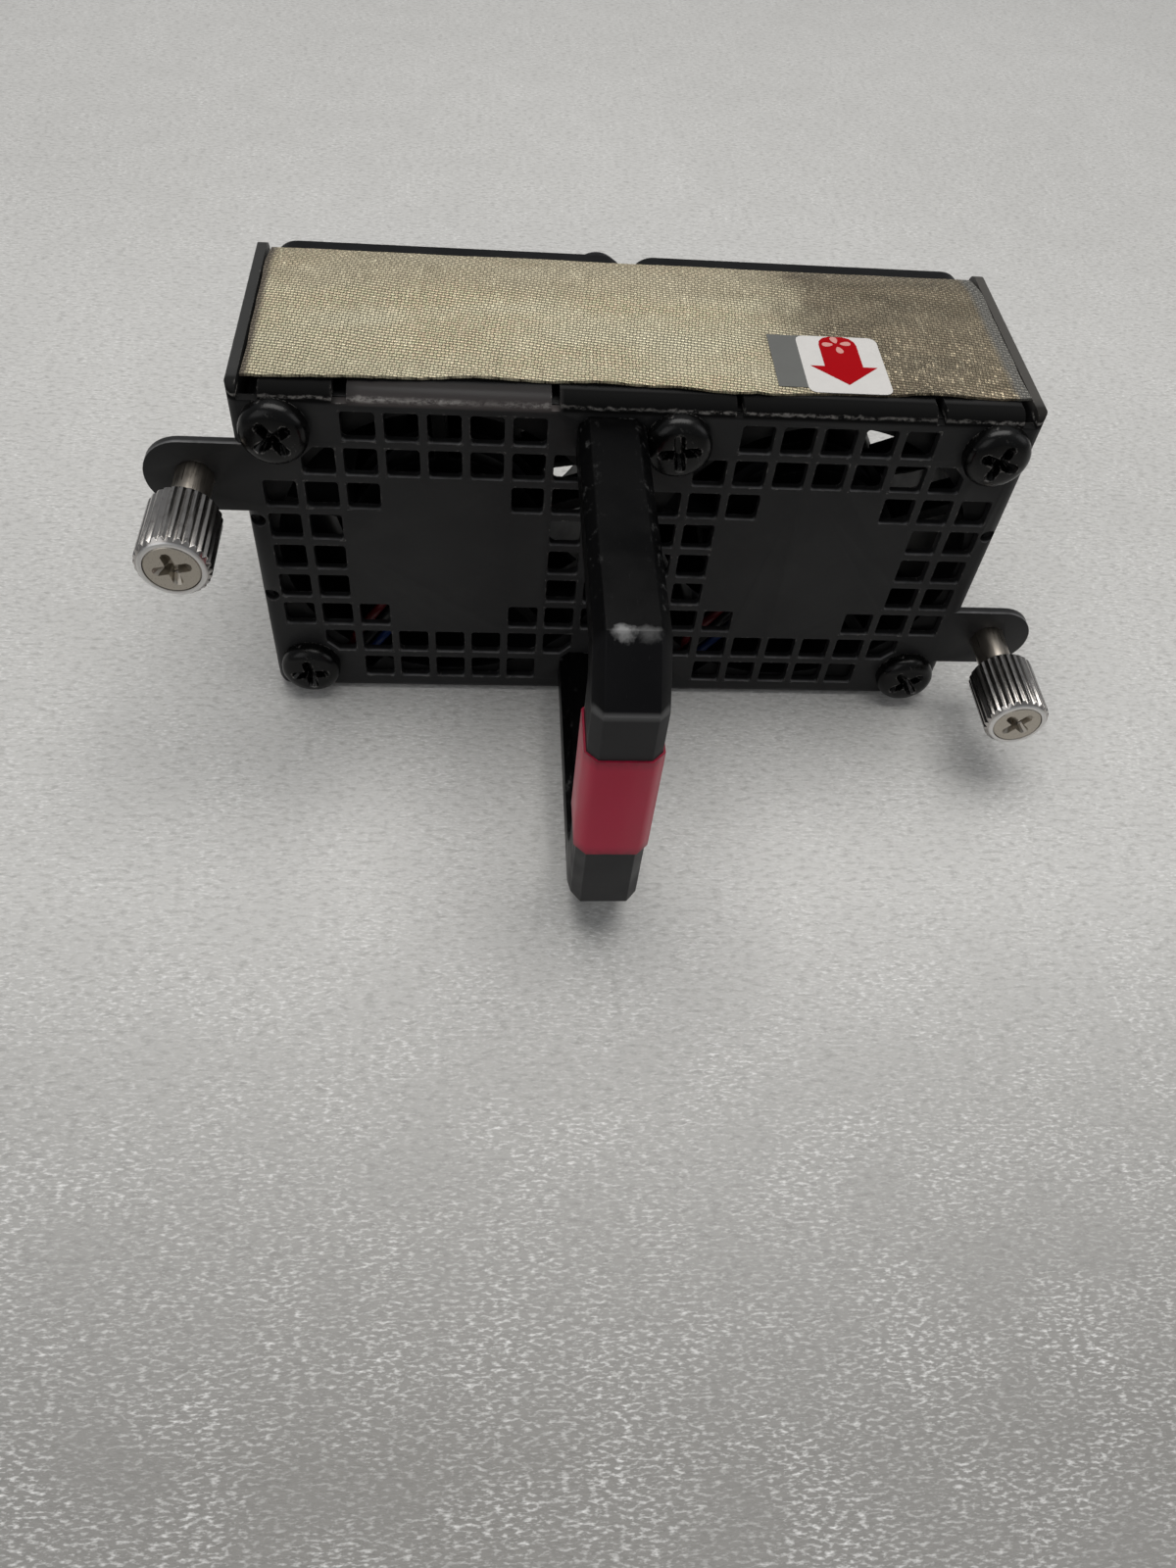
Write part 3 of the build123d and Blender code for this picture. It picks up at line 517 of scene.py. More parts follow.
def fabric_material():
    """Metal-plated plain weave: bright, with painted shade between its threads, a duller rear edge, a
    dull right end with painted glints, and painted shadow along its left end.
    """
    fabric = Shader("weave_plated", (0.4, 0.34, 0.22), 0.42, metallic=0.55)
    low, high = box_mm("gasket_fabric")
    label = box_mm("airflow_label")[0].x
    height = weave_height(fabric)

    # Gold threads, painted near black down between them as shade, with paler patches and a greener tint
    # here and there
    speck = fabric.range(fabric.noise(2.4, detail=2), 0.4, 0.6)
    bright = fabric.mix(speck, (0.63, 0.6, 0.385), (0.74, 0.6, 0.415))
    gold = fabric.mix(height, (0.035, 0.026, 0.012), bright)
    pale = fabric.mix(height, (0.045, 0.038, 0.025), (0.78, 0.72, 0.52))
    green = fabric.mix(height, (0.045, 0.045, 0.03), (0.64, 0.6, 0.43))
    patches = fabric.range(fabric.noise(0.12, detail=5, stretch=(0.6, 1.6, 1)), 0.4, 0.68)
    tint = fabric.range(fabric.noise(0.06, detail=2), 0.45, 0.7, 0.0, 0.5)
    tone = fabric.mix(tint, fabric.mix(patches, gold, pale), green)

    # Worn dull from the label to the right end, and less so at the rear
    ragged = fabric.range(fabric.noise(0.25, detail=4), 0.3, 0.7, -2.0, 2.0)
    right = fabric.range(fabric.math("ADD", fabric.axis(X), ragged), label - 3.0, label + 6.0)
    ragged = fabric.range(fabric.noise(0.3, detail=4), 0.3, 0.7, -1.0, 1.0)
    ragged = fabric.math("ADD", fabric.axis(Y), ragged)
    rear = fabric.range(ragged, high.y - 10.0, high.y - 7.0, 0.0, 0.55)
    smear = fabric.range(fabric.noise(0.35, detail=5, stretch=(0.5, 1.2, 1), rough=0.6), 0.35, 0.65)
    rear_dull = fabric.mix(smear, (0.31, 0.262, 0.18), (0.42, 0.36, 0.255))
    right_dull = fabric.mix(smear, (0.075, 0.056, 0.036), (0.17, 0.134, 0.09))
    worn = fabric.greatest(rear, fabric.product(right, 0.85))
    tone = fabric.mix(worn, tone, fabric.mix(right, rear_dull, right_dull))

    # Thick and thin threads, painted glints on the right, a grey hem along the right end, and painted
    # shadow along the left end by the wall
    slubs = fabric.noise(2.0, detail=3, stretch=(1.6, 0.3, 1), rough=0.6)
    thick = fabric.product(fabric.range(slubs, 0.55, 0.72), fabric.range(right, 0.0, 1.0, 0.5, 0.2))
    tone = fabric.mix(thick, tone, (0.8, 0.73, 0.53))
    tone = fabric.mix(fabric.range(slubs, 0.45, 0.3, 0.0, 0.25), tone, (0.12, 0.1, 0.06))
    creases = fabric.range(fabric.noise(1.5, detail=6, stretch=(1.6, 0.6, 1), rough=0.7), 0.54, 0.64)
    forward = fabric.along(Y, high.y - 8.0, low.y + 5.0)
    glints = fabric.product(creases, fabric.range(height, 0.35, 0.8), right, forward)
    tone = fabric.mix(glints, tone, (0.85, 0.72, 0.5))
    tone = fabric.mix(fabric.along(X, high.x - 1.7, high.x - 0.9, 0.0, 0.9), tone, (0.15, 0.148, 0.138))
    # Painted shadow along the left end, by the wall
    tone = fabric.mix(fabric.along(X, low.x + 0.9, low.x + 0.3), tone, (0.12, 0.1, 0.075))

    fabric.color(tone)
    fabric.roughness(fabric.range(fabric.noise(3.5, detail=1), 0.6, 0.72, 0.48, 0.26))
    fabric.bump(height, 0.12)
    fabric.bump(fabric.noise(0.25, detail=3), 0.25, 0.35)
    return fabric.material


def foam_material():
    """Grey open foam, painted darker in the pits of its cells as shade."""
    foam = Shader("foam_grey", (0.05, 0.05, 0.055), 0.9)
    cells = foam.noise(5.0, detail=3)
    foam.color(foam.mix(cells, (0.02, 0.02, 0.022), (0.08, 0.08, 0.085)))
    foam.bump(cells, 0.1)
    return foam.material


def print_material(name, color, roughness=0.32):
    """Printed film: slightly mottled ink under a clear face."""
    film = Shader(name, color, roughness, specular=0.06)
    film.color(film.mix(film.noise(0.6, detail=7, rough=0.7), color, toned(color, 0.86)))
    film.bump(film.noise(0.3, detail=3), 0.06, 0.4)
    return film.material


def board_material():
    """Green circuit board with raised tracks."""
    board = Shader("board_green", (0.02, 0.12, 0.05), 0.35)
    tracks = board.range(board.noise(1.2, detail=1, stretch=(1, 1, 3)), 0.49, 0.53)
    board.color(board.mix(tracks, (0.012, 0.08, 0.035), (0.03, 0.17, 0.07)))
    board.bump(tracks, 0.03)
    return board.material


def winding_material():
    """Enamelled copper wire, wound in close turns, painted darker in the grooves between them as shade.
    """
    wire = Shader("winding_copper", (0.55, 0.2, 0.07), 0.3, metallic=0.9)
    turns = wire.math("ABSOLUTE", wire.math("SINE", wire.product(wire.axis(Y), pi / WINDING_PITCH)))
    # Painted shade in the grooves between the turns
    wire.color(wire.mix(turns, (0.2, 0.06, 0.02), (0.62, 0.25, 0.1)))
    wire.bump(turns, 0.05)
    return wire.material


def floor_material():
    """Plain pale sheet, painted darker in front as shade where the light falls off: a faint drawn-out
    grain with small bright flecks, partly painted glints.
    """
    pale_low, pale_high = (0.51, 0.505, 0.49), (0.61, 0.605, 0.59)
    near_shade_low, near_shade_high = (0.2, 0.193, 0.178), (0.29, 0.286, 0.276)
    grain_grey, fleck_white = (0.2, 0.195, 0.185), (0.85, 0.845, 0.835)
    floor = Shader("floor_pale", (0.5, 0.49, 0.475), 0.5)
    shade = floor.noise(0.012, detail=2)
    # Painted shade: the sheet darkens towards the front, where the light falls off
    far = floor.along(Y, -95, -42)
    tone = floor.mix(far, floor.mix(shade, near_shade_low, near_shade_high), floor.mix(shade, pale_low, pale_high))
    grain = floor.noise(1.3, detail=5, stretch=(0.6, 1.4, 1), rough=0.6)
    tone = floor.mix(floor.range(grain, 0.52, 0.32, 0.0, 0.4), tone, grain_grey)
    # Small bright flecks, partly specks in the sheet and partly painted glints
    flecks = floor.product(
        floor.range(floor.noise(3.2, detail=3, stretch=(0.42, 1.2, 1), rough=0.55), 0.5, 0.74),
        floor.range(far, 0.0, 1.0, 1.0, 0.8),
        floor.range(floor.noise(0.12, detail=3), 0.35, 0.65, 0.3, 1.0),
    )
    floor.color(floor.mix(flecks, tone, fleck_white))
    floor.bump(grain, 0.25, 0.5)
    return floor.material


def smooth_group(limit):
    """Modifier nodes: drop stored normals, smooth every face and keep edges over this angle sharp."""
    group = bpy.data.node_groups.new("smooth_by_angle", "GeometryNodeTree")
    group.interface.new_socket("Geometry", in_out="INPUT", socket_type="NodeSocketGeometry")
    group.interface.new_socket("Geometry", in_out="OUTPUT", socket_type="NodeSocketGeometry")
    start = group.nodes.new("NodeGroupInput")
    end = group.nodes.new("NodeGroupOutput")
    clean = group.nodes.new("GeometryNodeRemoveAttribute")
    clean.inputs["Name"].default_value = "custom_normal"
    faces = group.nodes.new("GeometryNodeSetShadeSmooth")
    edges = group.nodes.new("GeometryNodeSetShadeSmooth")
    edges.domain = "EDGE"
    edges.inputs["Shade Smooth"].default_value = False
    angle = group.nodes.new("GeometryNodeInputMeshEdgeAngle")
    sharp = group.nodes.new("FunctionNodeCompare")
    sharp.inputs[1].default_value = radians(limit)
    group.links.new(start.outputs[0], clean.inputs[0])
    group.links.new(clean.outputs[0], faces.inputs["Geometry"])
    group.links.new(faces.outputs[0], edges.inputs["Geometry"])
    group.links.new(angle.outputs["Unsigned Angle"], sharp.inputs[0])
    group.links.new(sharp.outputs[0], edges.inputs["Selection"])
    group.links.new(edges.outputs[0], end.inputs[0])
    return group


SMOOTH = smooth_group(limit=30)
SOFT = smooth_group(limit=50)


def smooth(obj, shading=None):
    """Shade a piece smooth, with the limit of SMOOTH where no other is given."""
    obj.modifiers.new("smooth", "NODES").node_group = shading or SMOOTH


def finish_node(node, material, width, segments=2, shading=None):
    """Round a CAD node's edges by modifiers, which leave its own mesh alone, and give its material."""
    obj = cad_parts[node]
    obj.modifiers.new("weld", "WELD").merge_threshold = WELD_GAP * MM
    flat = obj.modifiers.new("flat", "DECIMATE")
    flat.decimate_type = "DISSOLVE"
    flat.angle_limit = radians(FLAT_ANGLE)
    if width:
        bevel = obj.modifiers.new("bevel", "BEVEL")
        bevel.width = width * MM
        bevel.segments = segments
        bevel.limit_method = "ANGLE"
        bevel.angle_limit = radians(BEVEL_ANGLE)
    smooth(obj, shading)
    for slot in obj.material_slots:
        slot.material = material


def add_mesh(name, points, faces, material):
    """A new mesh from points in millimetres."""
    mesh = bpy.data.meshes.new(name)
    mesh.from_pydata([Vector(point) * MM for point in points], [], faces)
    mesh.materials.append(material)
    mesh.validate()
    obj = bpy.data.objects.new(name, mesh)
    bpy.context.scene.collection.objects.link(obj)
    repair = bmesh.new()
    repair.from_mesh(mesh)
    bmesh.ops.recalc_face_normals(repair, faces=repair.faces)
    repair.to_mesh(mesh)
    repair.free()
    return obj


def settle(obj):
    """Apply a new piece's modifiers."""
    evaluated = obj.evaluated_get(bpy.context.evaluated_depsgraph_get())
    mesh = bpy.data.meshes.new_from_object(evaluated)
    obj.modifiers.clear()
    obj.data = mesh


def finish_piece(obj):
    """Shade a new piece smooth and apply its modifiers."""
    smooth(obj)
    settle(obj)


def turned(name, profile, material):
    """A solid of revolution round the Z axis from (radius, height) points that start and end on it."""
    inner = profile[1:-1]
    points = [(0, 0, profile[0][1]), (0, 0, profile[-1][1])]
    for step in range(ROUND_STEPS):
        angle = 2 * pi * step / ROUND_STEPS
        points += [(radius * cos(angle), radius * sin(angle), height) for radius, height in inner]
    count = len(inner)
    faces = []
    for step in range(ROUND_STEPS):
        here = 2 + step * count
        there = 2 + (step + 1) % ROUND_STEPS * count
        faces.append((0, here, there))
        faces.append((1, there + count - 1, here + count - 1))
        for ring in range(count - 1):
            faces.append((here + ring, here + ring + 1, there + ring + 1, there + ring))
    return add_mesh(name, points, faces, material)


def tube_faces(ring, total):
    """Faces of a closed tube whose points come in rings of this many."""
    faces = [tuple(reversed(range(ring))), tuple(range(total - ring, total))]
    for start in range(0, total - ring, ring):
        for side in range(ring):
            here, there = start + side, start + (side + 1) % ring
            faces.append((here, there, there + ring, here + ring))
    return faces


def cut_cross(obj, top, cross, turn):
    """Cut a cross recess into the top of a turned head: two tapered slots, their corners cut off."""
    span, slot, depth = cross
    for quarter in (0, 90):
        points = []
        for above, deep, length, width in CROSS_SECTIONS:
            x, y, cut = length * span / 2, width * slot / 2, CROSS_CORNER * width * slot
            outline = [(x - cut, -y), (x, cut - y), (x, y - cut), (x - cut, y)]
            outline += [(-x, -y) for x, y in outline]
            points += [(x, y, top + above - deep * depth) for x, y in outline]
        cutter = add_mesh("cutter", points, tube_faces(len(outline), len(points)), obj.data.materials[0])
        cutter.rotation_euler.z = radians(turn + quarter)
        bpy.context.view_layer.update()
        cut = obj.modifiers.new("cut", "BOOLEAN")
        cut.object = cutter
        cut.solver = "EXACT"
        settle(obj)
        bpy.data.objects.remove(cutter)


def head_profile(radius, height, shank, length):
    """Half outline of a pan head screw, head up, its seat at 0."""
    profile = [(0, -length), (0.8 * shank, -length), (shank, -length + 0.3)]
    profile += [(shank, 0), (radius, 0), (radius, 0.42 * height)]
    profile += [
        (radius * (0.55 + 0.45 * cos(angle)), height * (0.42 + 0.58 * sin(angle)))
        for angle in (radians(20), radians(40), radians(60), radians(80))
    ]
    profile += [(0.4 * radius, height), (0, height)]
    return profile


def place_turned(obj, place, direction):
    """Stand a turned piece at a place in millimetres, its Z axis along a direction."""
    turn = Vector(direction).to_track_quat("Z", "Y").to_matrix().to_4x4()
    obj.matrix_world = Matrix.Translation(Vector(place) * MM) @ turn


def make_fan_screws(material):
    """Six pan head screws in the face and two long ones from the rear, with worn cross recesses."""
    profile = head_profile(HEAD_RADIUS, HEAD_HEIGHT, SCREW_RADIUS, SCREW_LENGTH)
    heads = []
    for turn in HEAD_TURNS:
        head = turned("fan_screw", profile, material)
        cut_cross(head, HEAD_HEIGHT, HEAD_CROSS, turn)
        finish_piece(head)
        heads.append(head)
    front = box_mm("fan_screws")[0].y
    handle_x = sum(box_mm("handle"), Vector()).x / 2
    index = 0
    for side in SIDES:
        centre = sum(box_mm(f"{side}_fan_frame"), Vector()) / 2
        for dx in (-SCREW_SPACING / 2, SCREW_SPACING / 2):
            for dz in (-SCREW_SPACING / 2, SCREW_SPACING / 2):
                if abs(centre.x + dx - handle_x) < 1:  # the long screws of the handle go there
                    continue
                screw = bpy.data.objects.new(f"fan_screw_{index + 1}", heads[index % len(heads)].data)
                bpy.context.scene.collection.objects.link(screw)
                place_turned(screw, (centre.x + dx, front + HEAD_HEIGHT, centre.z + dz), (0, -1, 0))
                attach(screw, "tray_body")
                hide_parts("fan_screws")
                index += 1
    for head in heads:
        bpy.data.objects.remove(head)

    low, high = box_mm("handle_screws")
    radius = (high.x - low.x) / 2
    seat = high.y - HANDLE_HEAD_HEIGHT
    profile = head_profile(radius, HANDLE_HEAD_HEIGHT, SCREW_RADIUS, seat - low.y)
    for name, z in (("handle_screw_low", low.z + radius), ("handle_screw_high", high.z - radius)):
        screw = turned(name, profile, material)
        cut_cross(screw, HANDLE_HEAD_HEIGHT, HANDLE_CROSS, 25 + z)
        finish_piece(screw)
        place_turned(screw, ((low.x + high.x) / 2, seat, z), (0, 1, 0))
        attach(screw, "tray_body")
        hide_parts("handle_screws")


def make_connector_screws(material):
    """The small screw beside each connector."""
    low, high = box_mm("connector_screws")
    radius = (high.y - low.y) / 2
    seat = high.z - CONNECTOR_HEAD_HEIGHT
    profile = head_profile(radius, CONNECTOR_HEAD_HEIGHT, CONNECTOR_SCREW_RADIUS, seat - low.z)
    for side, x in zip(SIDES, (low.x + radius, high.x - radius)):
        screw = turned(f"connector_screw_{side}", profile, material)
        cut_cross(screw, CONNECTOR_HEAD_HEIGHT, CONNECTOR_CROSS, 20 + x)
        finish_piece(screw)
        place_turned(screw, (x, (low.y + high.y) / 2, seat), (0, 0, 1))
        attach(screw, "tray_body")
        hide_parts("connector_screws")


def make_captive_screw(side, material):
    """The screw pressed into a knob: a flat disc with a cross recess, a neck and a threaded end."""
    low, high = box_mm(f"{side}_captive_screw")
    disc = (high.x - low.x) / 2
    length = high.y - low.y
    profile = [(0, -length), (0.7 * CAPTIVE_RADIUS, -length), (CAPTIVE_RADIUS, -length + 0.4)]
    level = -length + 0.6
    thread_end = -length + CAPTIVE_THREAD
    while level < thread_end - CAPTIVE_PITCH:
        profile += [(CAPTIVE_RADIUS, level), (0.85 * CAPTIVE_RADIUS, level + 0.22)]
        level += CAPTIVE_PITCH
    profile += [
        (CAPTIVE_RADIUS, thread_end),
        (CAPTIVE_NECK, thread_end),
        (CAPTIVE_NECK, -CAPTIVE_DISC_DEPTH),
        (disc, -CAPTIVE_DISC_DEPTH),
        (disc, -CAPTIVE_CHAMFER),
        (disc - CAPTIVE_CHAMFER, 0),
        (0, 0),
    ]
    screw = turned(f"{side}_captive_screw_piece", profile, material)
    cut_cross(screw, 0, CAPTIVE_CROSS, CAPTIVE_TURNS[side])
    finish_piece(screw)
    place_turned(screw, ((low.x + high.x) / 2, low.y, (low.z + high.z) / 2), (0, -1, 0))
    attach(screw, f"{side}_thumbscrew")
    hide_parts(f"{side}_captive_screw")


def make_spring(side, material):
    """Coil spring inside a knob, made at one length and carried with the plunger."""
    low, high = box_mm(f"{side}_spring")
    centre = (low + high) / 2
    height = high.y - low.y
    radius = (high.x - low.x) / 2 - SPRING_WIRE
    points = []
    for step in range(SPRING_TURNS * SPRING_STEPS + 1):
        share = step / (SPRING_TURNS * SPRING_STEPS)
        angle = 2 * pi * SPRING_TURNS * share
        y = low.y + SPRING_WIRE + share * (height - 2 * SPRING_WIRE)
        for corner in range(WIRE_STEPS):
            tilt = 2 * pi * corner / WIRE_STEPS
            reach = radius + SPRING_WIRE * cos(tilt)
            x, z = centre.x + reach * cos(angle), centre.z + reach * sin(angle)
            points.append((x, y + SPRING_WIRE * sin(tilt), z))
    faces = tube_faces(WIRE_STEPS, len(points))
    spring = add_mesh(f"{side}_spring_coil", points, faces, material)
    finish_piece(spring)
    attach(spring, f"{side}_plunger")
    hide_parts(f"{side}_spring")
    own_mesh(spring)


def wobble(x, y, scale, seed):
    """Smooth noise from -1 to 1 over a place in millimetres."""
    return noise.noise(Vector((x * scale, y * scale, seed)))


def rear_drop(y, rear):
    """How far the gasket has sunk towards its rear edge, at this depth."""
    return REAR_SINK * max(0.0, 1 - (rear - y) / REAR_REACH) ** 1.5


def front_shift(x):
    """How far back the skin's front edge stands: it wanders, and reaches out at two places."""
    wander = FABRIC_WANDER * wobble(x, 0, 0.11, 3.1) + 0.12 * wobble(x, 0, 0.9, 7.0)
    left_end = 0.8 / (1 + exp((x + 24) / 3))
    beside_handle = 0.7 * exp(-(((x - 9) / 7) ** 2))
    return wander - left_end - beside_handle


def make_fabric(material):
    """Plated skin: an uneven front edge that lifts away from the label, a sunken rear edge, ripples."""
    low, high = box_mm("gasket_fabric")
    high.y -= GASKET_SHORT
    label_low, label_high = box_mm("airflow_label")
    across, along = FABRIC_GRID
    points = []
    for row in range(along + 1):
        for column in range(across + 1):
            u, v = column / across, row / along
            x = low.x + u * (high.x - low.x)
            y = low.y + v * (high.y - low.y)
            near = 1 - min(1.0, (y - low.y) / FABRIC_EDGE)
            away = min(1.0, max(0.0, label_low.x - x, x - label_high.x) / LABEL_HOLD)
            lift = FABRIC_LIFT * near**2 * away * max(0.0, 0.5 + wobble(x, 0, 0.16, 5.2))
            ripple = 0.05 * away * (1 + wobble(x, y, 0.17, 1.4)) * min(1.0, v * 10)
            side_wander = 0.18 * wobble(0, y, 0.2, 9.0) * (2 * u - 1)
            height = low.z + lift + ripple - rear_drop(y, high.y)
            points.append((x + side_wander, y + front_shift(x) * near, height))
    width = across + 1
    corners = (row * width + column for row in range(along) for column in range(across))
    faces = [(here, here + 1, here + width + 1, here + width) for here in corners]
    fabric = add_mesh("gasket_skin", points, faces, material)
    if fabric.data.polygons[0].normal.z < 0:
        fabric.data.flip_normals()
    solid = fabric.modifiers.new("thickness", "SOLIDIFY")
    solid.thickness = FABRIC_THICKNESS * MM
    solid.offset = 1.0
    finish_piece(fabric)
    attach(fabric, "tray_body")
    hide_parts("gasket_fabric")


def make_foam(material):
    """Foam strip under the fabric, its edges rounded by the skin that pulls over them."""
    low, high = box_mm("gasket_foam")
    high.y -= GASKET_SHORT
    rear = box_mm("gasket_fabric")[1].y - GASKET_SHORT
    size, centre = high - low, (high + low) / 2
    block = bmesh.new()
    bmesh.ops.create_cube(block, size=1.0)
    for vertex in block.verts:
        vertex.co = centre + Vector(part * length for part, length in zip(vertex.co, size))
    bmesh.ops.bevel(
        block, geom=block.edges[:], offset=FOAM_ROUNDING, segments=4, affect="EDGES", profile=0.5
    )
    points = []
    for vertex in block.verts:
        x, y, z = vertex.co
        share = (z - low.z) / (high.z - low.z)
        points.append((x, y + 0.12 * wobble(x, y, 0.3, 2.2), z - rear_drop(y, rear) * share))
    faces = [tuple(vertex.index for vertex in face.verts) for face in block.faces]
    block.free()
    foam = add_mesh("gasket_core", points, faces, material)
    finish_piece(foam)
    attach(foam, "tray_body")
    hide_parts("gasket_foam")


def plate(name, outline, base, thickness, material):
    """A thin flat plate with this outline, lying at a height."""
    points = [(x, y, height) for height in (base, base + thickness) for x, y in outline]
    obj = add_mesh(name, points, tube_faces(len(outline), len(points)), material)
    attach(obj, "tray_body")
    return obj


def rounded_outline(low, high, radius):
    """Corner-rounded rectangle from low to high."""
    outline = []
    corners = (
        (high[0] - radius, high[1] - radius, 0),
        (low[0] + radius, high[1] - radius, 90),
        (low[0] + radius, low[1] + radius, 180),
        (high[0] - radius, low[1] + radius, 270),
    )
    for x, y, start in corners:
        for step in range(LABEL_STEPS + 1):
            angle = radians(start + 90 * step / LABEL_STEPS)
            outline.append((x + radius * cos(angle), y + radius * sin(angle)))
    return outline


def leaf_outline(x, y, away, turn):
    """One leaf of the rotor mark: an oval this far from (x, y), pointing away from it."""
    along = Vector((cos(radians(turn)), sin(radians(turn))))
    across = Vector((-along.y, along.x))
    middle = Vector((x, y)) + along * away
    outline = []
    for step in range(LEAF_STEPS):
        angle = 2 * pi * step / LEAF_STEPS
        reach = LEAF_LENGTH / 2 * cos(angle)
        side = LEAF_WIDTH / 2 * sin(angle) * (1 + 0.3 * cos(angle))
        outline.append(tuple(middle + along * reach + across * side))
    return outline


def make_label(white, grey, red, pink):
    """Airflow label: a grey end, a white face, and a red arrow to the front with a rotor mark."""
    low, high = box_mm("airflow_label")
    base = low.z
    top = base + LABEL_THICKNESS
    split = low.x + LABEL_SPLIT
    outline = rounded_outline((low.x, low.y + GREY_FRONT), (split + GREY_OVERLAP, high.y), GREY_ROUNDING)
    grey_part = plate("label_grey", outline, base, GREY_THICKNESS, grey)
    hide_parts("airflow_label")
    outline = rounded_outline((split, low.y), (high.x, high.y), LABEL_ROUNDING)
    plate("label_white", outline, base, LABEL_THICKNESS, white)

    middle = (split + high.x) / 2
    tip = low.y + 1.4
    tail = high.y - 0.05
    half = [
        (ARROW_HALF_WIDTH, tip + ARROW_LENGTH),
        (TAIL_HALF_WIDTH, tip + ARROW_LENGTH),
        (TAIL_HALF_WIDTH, tail - 1.5),
        (1.8, tail - 0.8),
        (1.35, tail - 0.25),
        (0.7, tail),
    ]
    arrow = [(middle, tip)]
    arrow += [(middle + reach, y) for reach, y in half]
    arrow += [(middle - reach, y) for reach, y in reversed(half)]
    plate("label_arrow", arrow, top, ARROW_THICKNESS, red)
    for index, (turn, away) in enumerate(LEAVES, 1):
        leaf = leaf_outline(middle - 0.1, tail - 1.35, away, turn)
        plate(f"label_rotor_{index}", leaf, top + ARROW_THICKNESS, ARROW_THICKNESS, pink)


def hole_corners():
    """Inner corners of the grille's holes: each one's place and the directions its two walls face."""
    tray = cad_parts["tray"]
    low, high = box_mm("tray")
    places = [tray.matrix_world @ vertex.co / MM for vertex in tray.data.vertices]
    keys = [tuple(round(part, 3) for part in place) for place in places]
    walls = {}
    for face in tray.data.polygons:
        loop = [keys[index] for index in face.vertices]
        normal = tray.matrix_world.to_3x3() @ face.normal
        middle = sum((places[index] for index in face.vertices), Vector()) / len(loop)
        for start, end in zip(loop, loop[1:] + loop[:1]):
            through = (start[X], start[Z]) == (end[X], end[Z])
            if through and abs(normal.y) < 0.01 and max(start[Y], end[Y]) < low.y + 1.1 * SHEET:
                walls.setdefault((start[X], start[Z]), []).append((normal, middle))
    edge = box_mm("right_fan_frame")[1].x
    corners = []
    for (x, z), faces in walls.items():
        (first, here), (second, there) = faces[0], faces[-1]
        inside = abs(x) < edge - EDGE_MARGIN and low.z + BEND_MARGIN < z < high.z - BEND_MARGIN
        if inside and first.dot(second) < 0.8 and (there - here).dot(first) > 0:
            corners.append((Vector((x, 0, z)), first, second))
    return corners


def make_hole_corners(material):
    """Fillets in the inner corners of the grille's holes, let into the sheet round them."""
    low = box_mm("tray")[0].y - CORNER_PROUD
    high = low + SHEET + 2 * CORNER_PROUD
    points, faces = [], []
    for place, first, second in hole_corners():
        turn = first.angle(second)
        reach = CORNER_RADIUS * (1 - cos(turn)) / sin(turn)
        along_first = (second - first * first.dot(second)).normalized()
        along_second = (first - second * first.dot(second)).normalized()
        bisector = (first + second) / (1 + first.dot(second))
        centre = place + bisector * CORNER_RADIUS
        prism = []
        for depth, rim in ((low, CORNER_RIM), (low + CORNER_RIM, 0.0), (high, 0.0)):
            ring = []
            for step in range(CORNER_STEPS + 1):
                share = turn * step / CORNER_STEPS
                spoke = -first * sin(turn - share) - second * sin(share)
                ring.append(centre + spoke / sin(turn) * (CORNER_RADIUS + rim))
            ring.append(place + along_second * reach - second * CORNER_SUNK)
            ring.append(place - bisector * CORNER_SUNK)
            ring.append(place + along_first * reach - first * CORNER_SUNK)
            prism += [(point.x, depth, point.z) for point in ring]
        base = len(points)
        faces += [tuple(base + index for index in face) for face in tube_faces(len(ring), len(prism))]
        points += prism
    corners = add_mesh("grille_corners", points, faces, material)
    finish_piece(corners)
    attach(corners, "tray_body")


def make_floor():
    """A floor just under the tray, so that the two faces don't share a plane."""
    corners = ((-1, -1), (1, -1), (1, 1), (-1, 1))
    points = [(x * FLOOR_SIZE, y * FLOOR_SIZE, -FLOOR_DROP) for x, y in corners]
    add_mesh("floor", points, [(0, 1, 2, 3)], floor_material())


def area_light(name, place, target, size, power, color=(1, 1, 1)):
    """A soft light at a place in metres, aimed at a target."""
    data = bpy.data.lights.new(name, "AREA")
    data.shape = "RECTANGLE"
    data.size, data.size_y = size
    data.energy = power
    data.color = color
    light = bpy.data.objects.new(name, data)
    bpy.context.scene.collection.objects.link(light)
    turn = (Vector(target) - Vector(place)).to_track_quat("-Z", "Y").to_matrix().to_4x4()
    light.matrix_world = Matrix.Translation(Vector(place)) @ turn


def make_studio():
    """A wide soft light overhead and behind, a weak fill in front, and a pale room."""
    middle = (0, 0, 0.02)
    area_light("key", (0.02, 0.1, 0.62), (0, 0, 0), size=(0.6, 0.4), power=3.3, color=(1.0, 0.985, 0.96))
    area_light("fill", (-0.45, -0.5, 0.45), middle, size=(0.5, 0.5), power=0.7)
    area_light("side", (0.6, -0.1, 0.35), middle, size=(0.4, 0.4), power=0.5)
    world = bpy.data.worlds.new("room")
    world.use_nodes = True
    background = world.node_tree.nodes["Background"]
    background.inputs["Color"].default_value = (0.9, 0.92, 0.95, 1)
    background.inputs["Strength"].default_value = 0.24
    bpy.context.scene.world = world
    bpy.context.scene.view_settings.view_transform = "Standard"


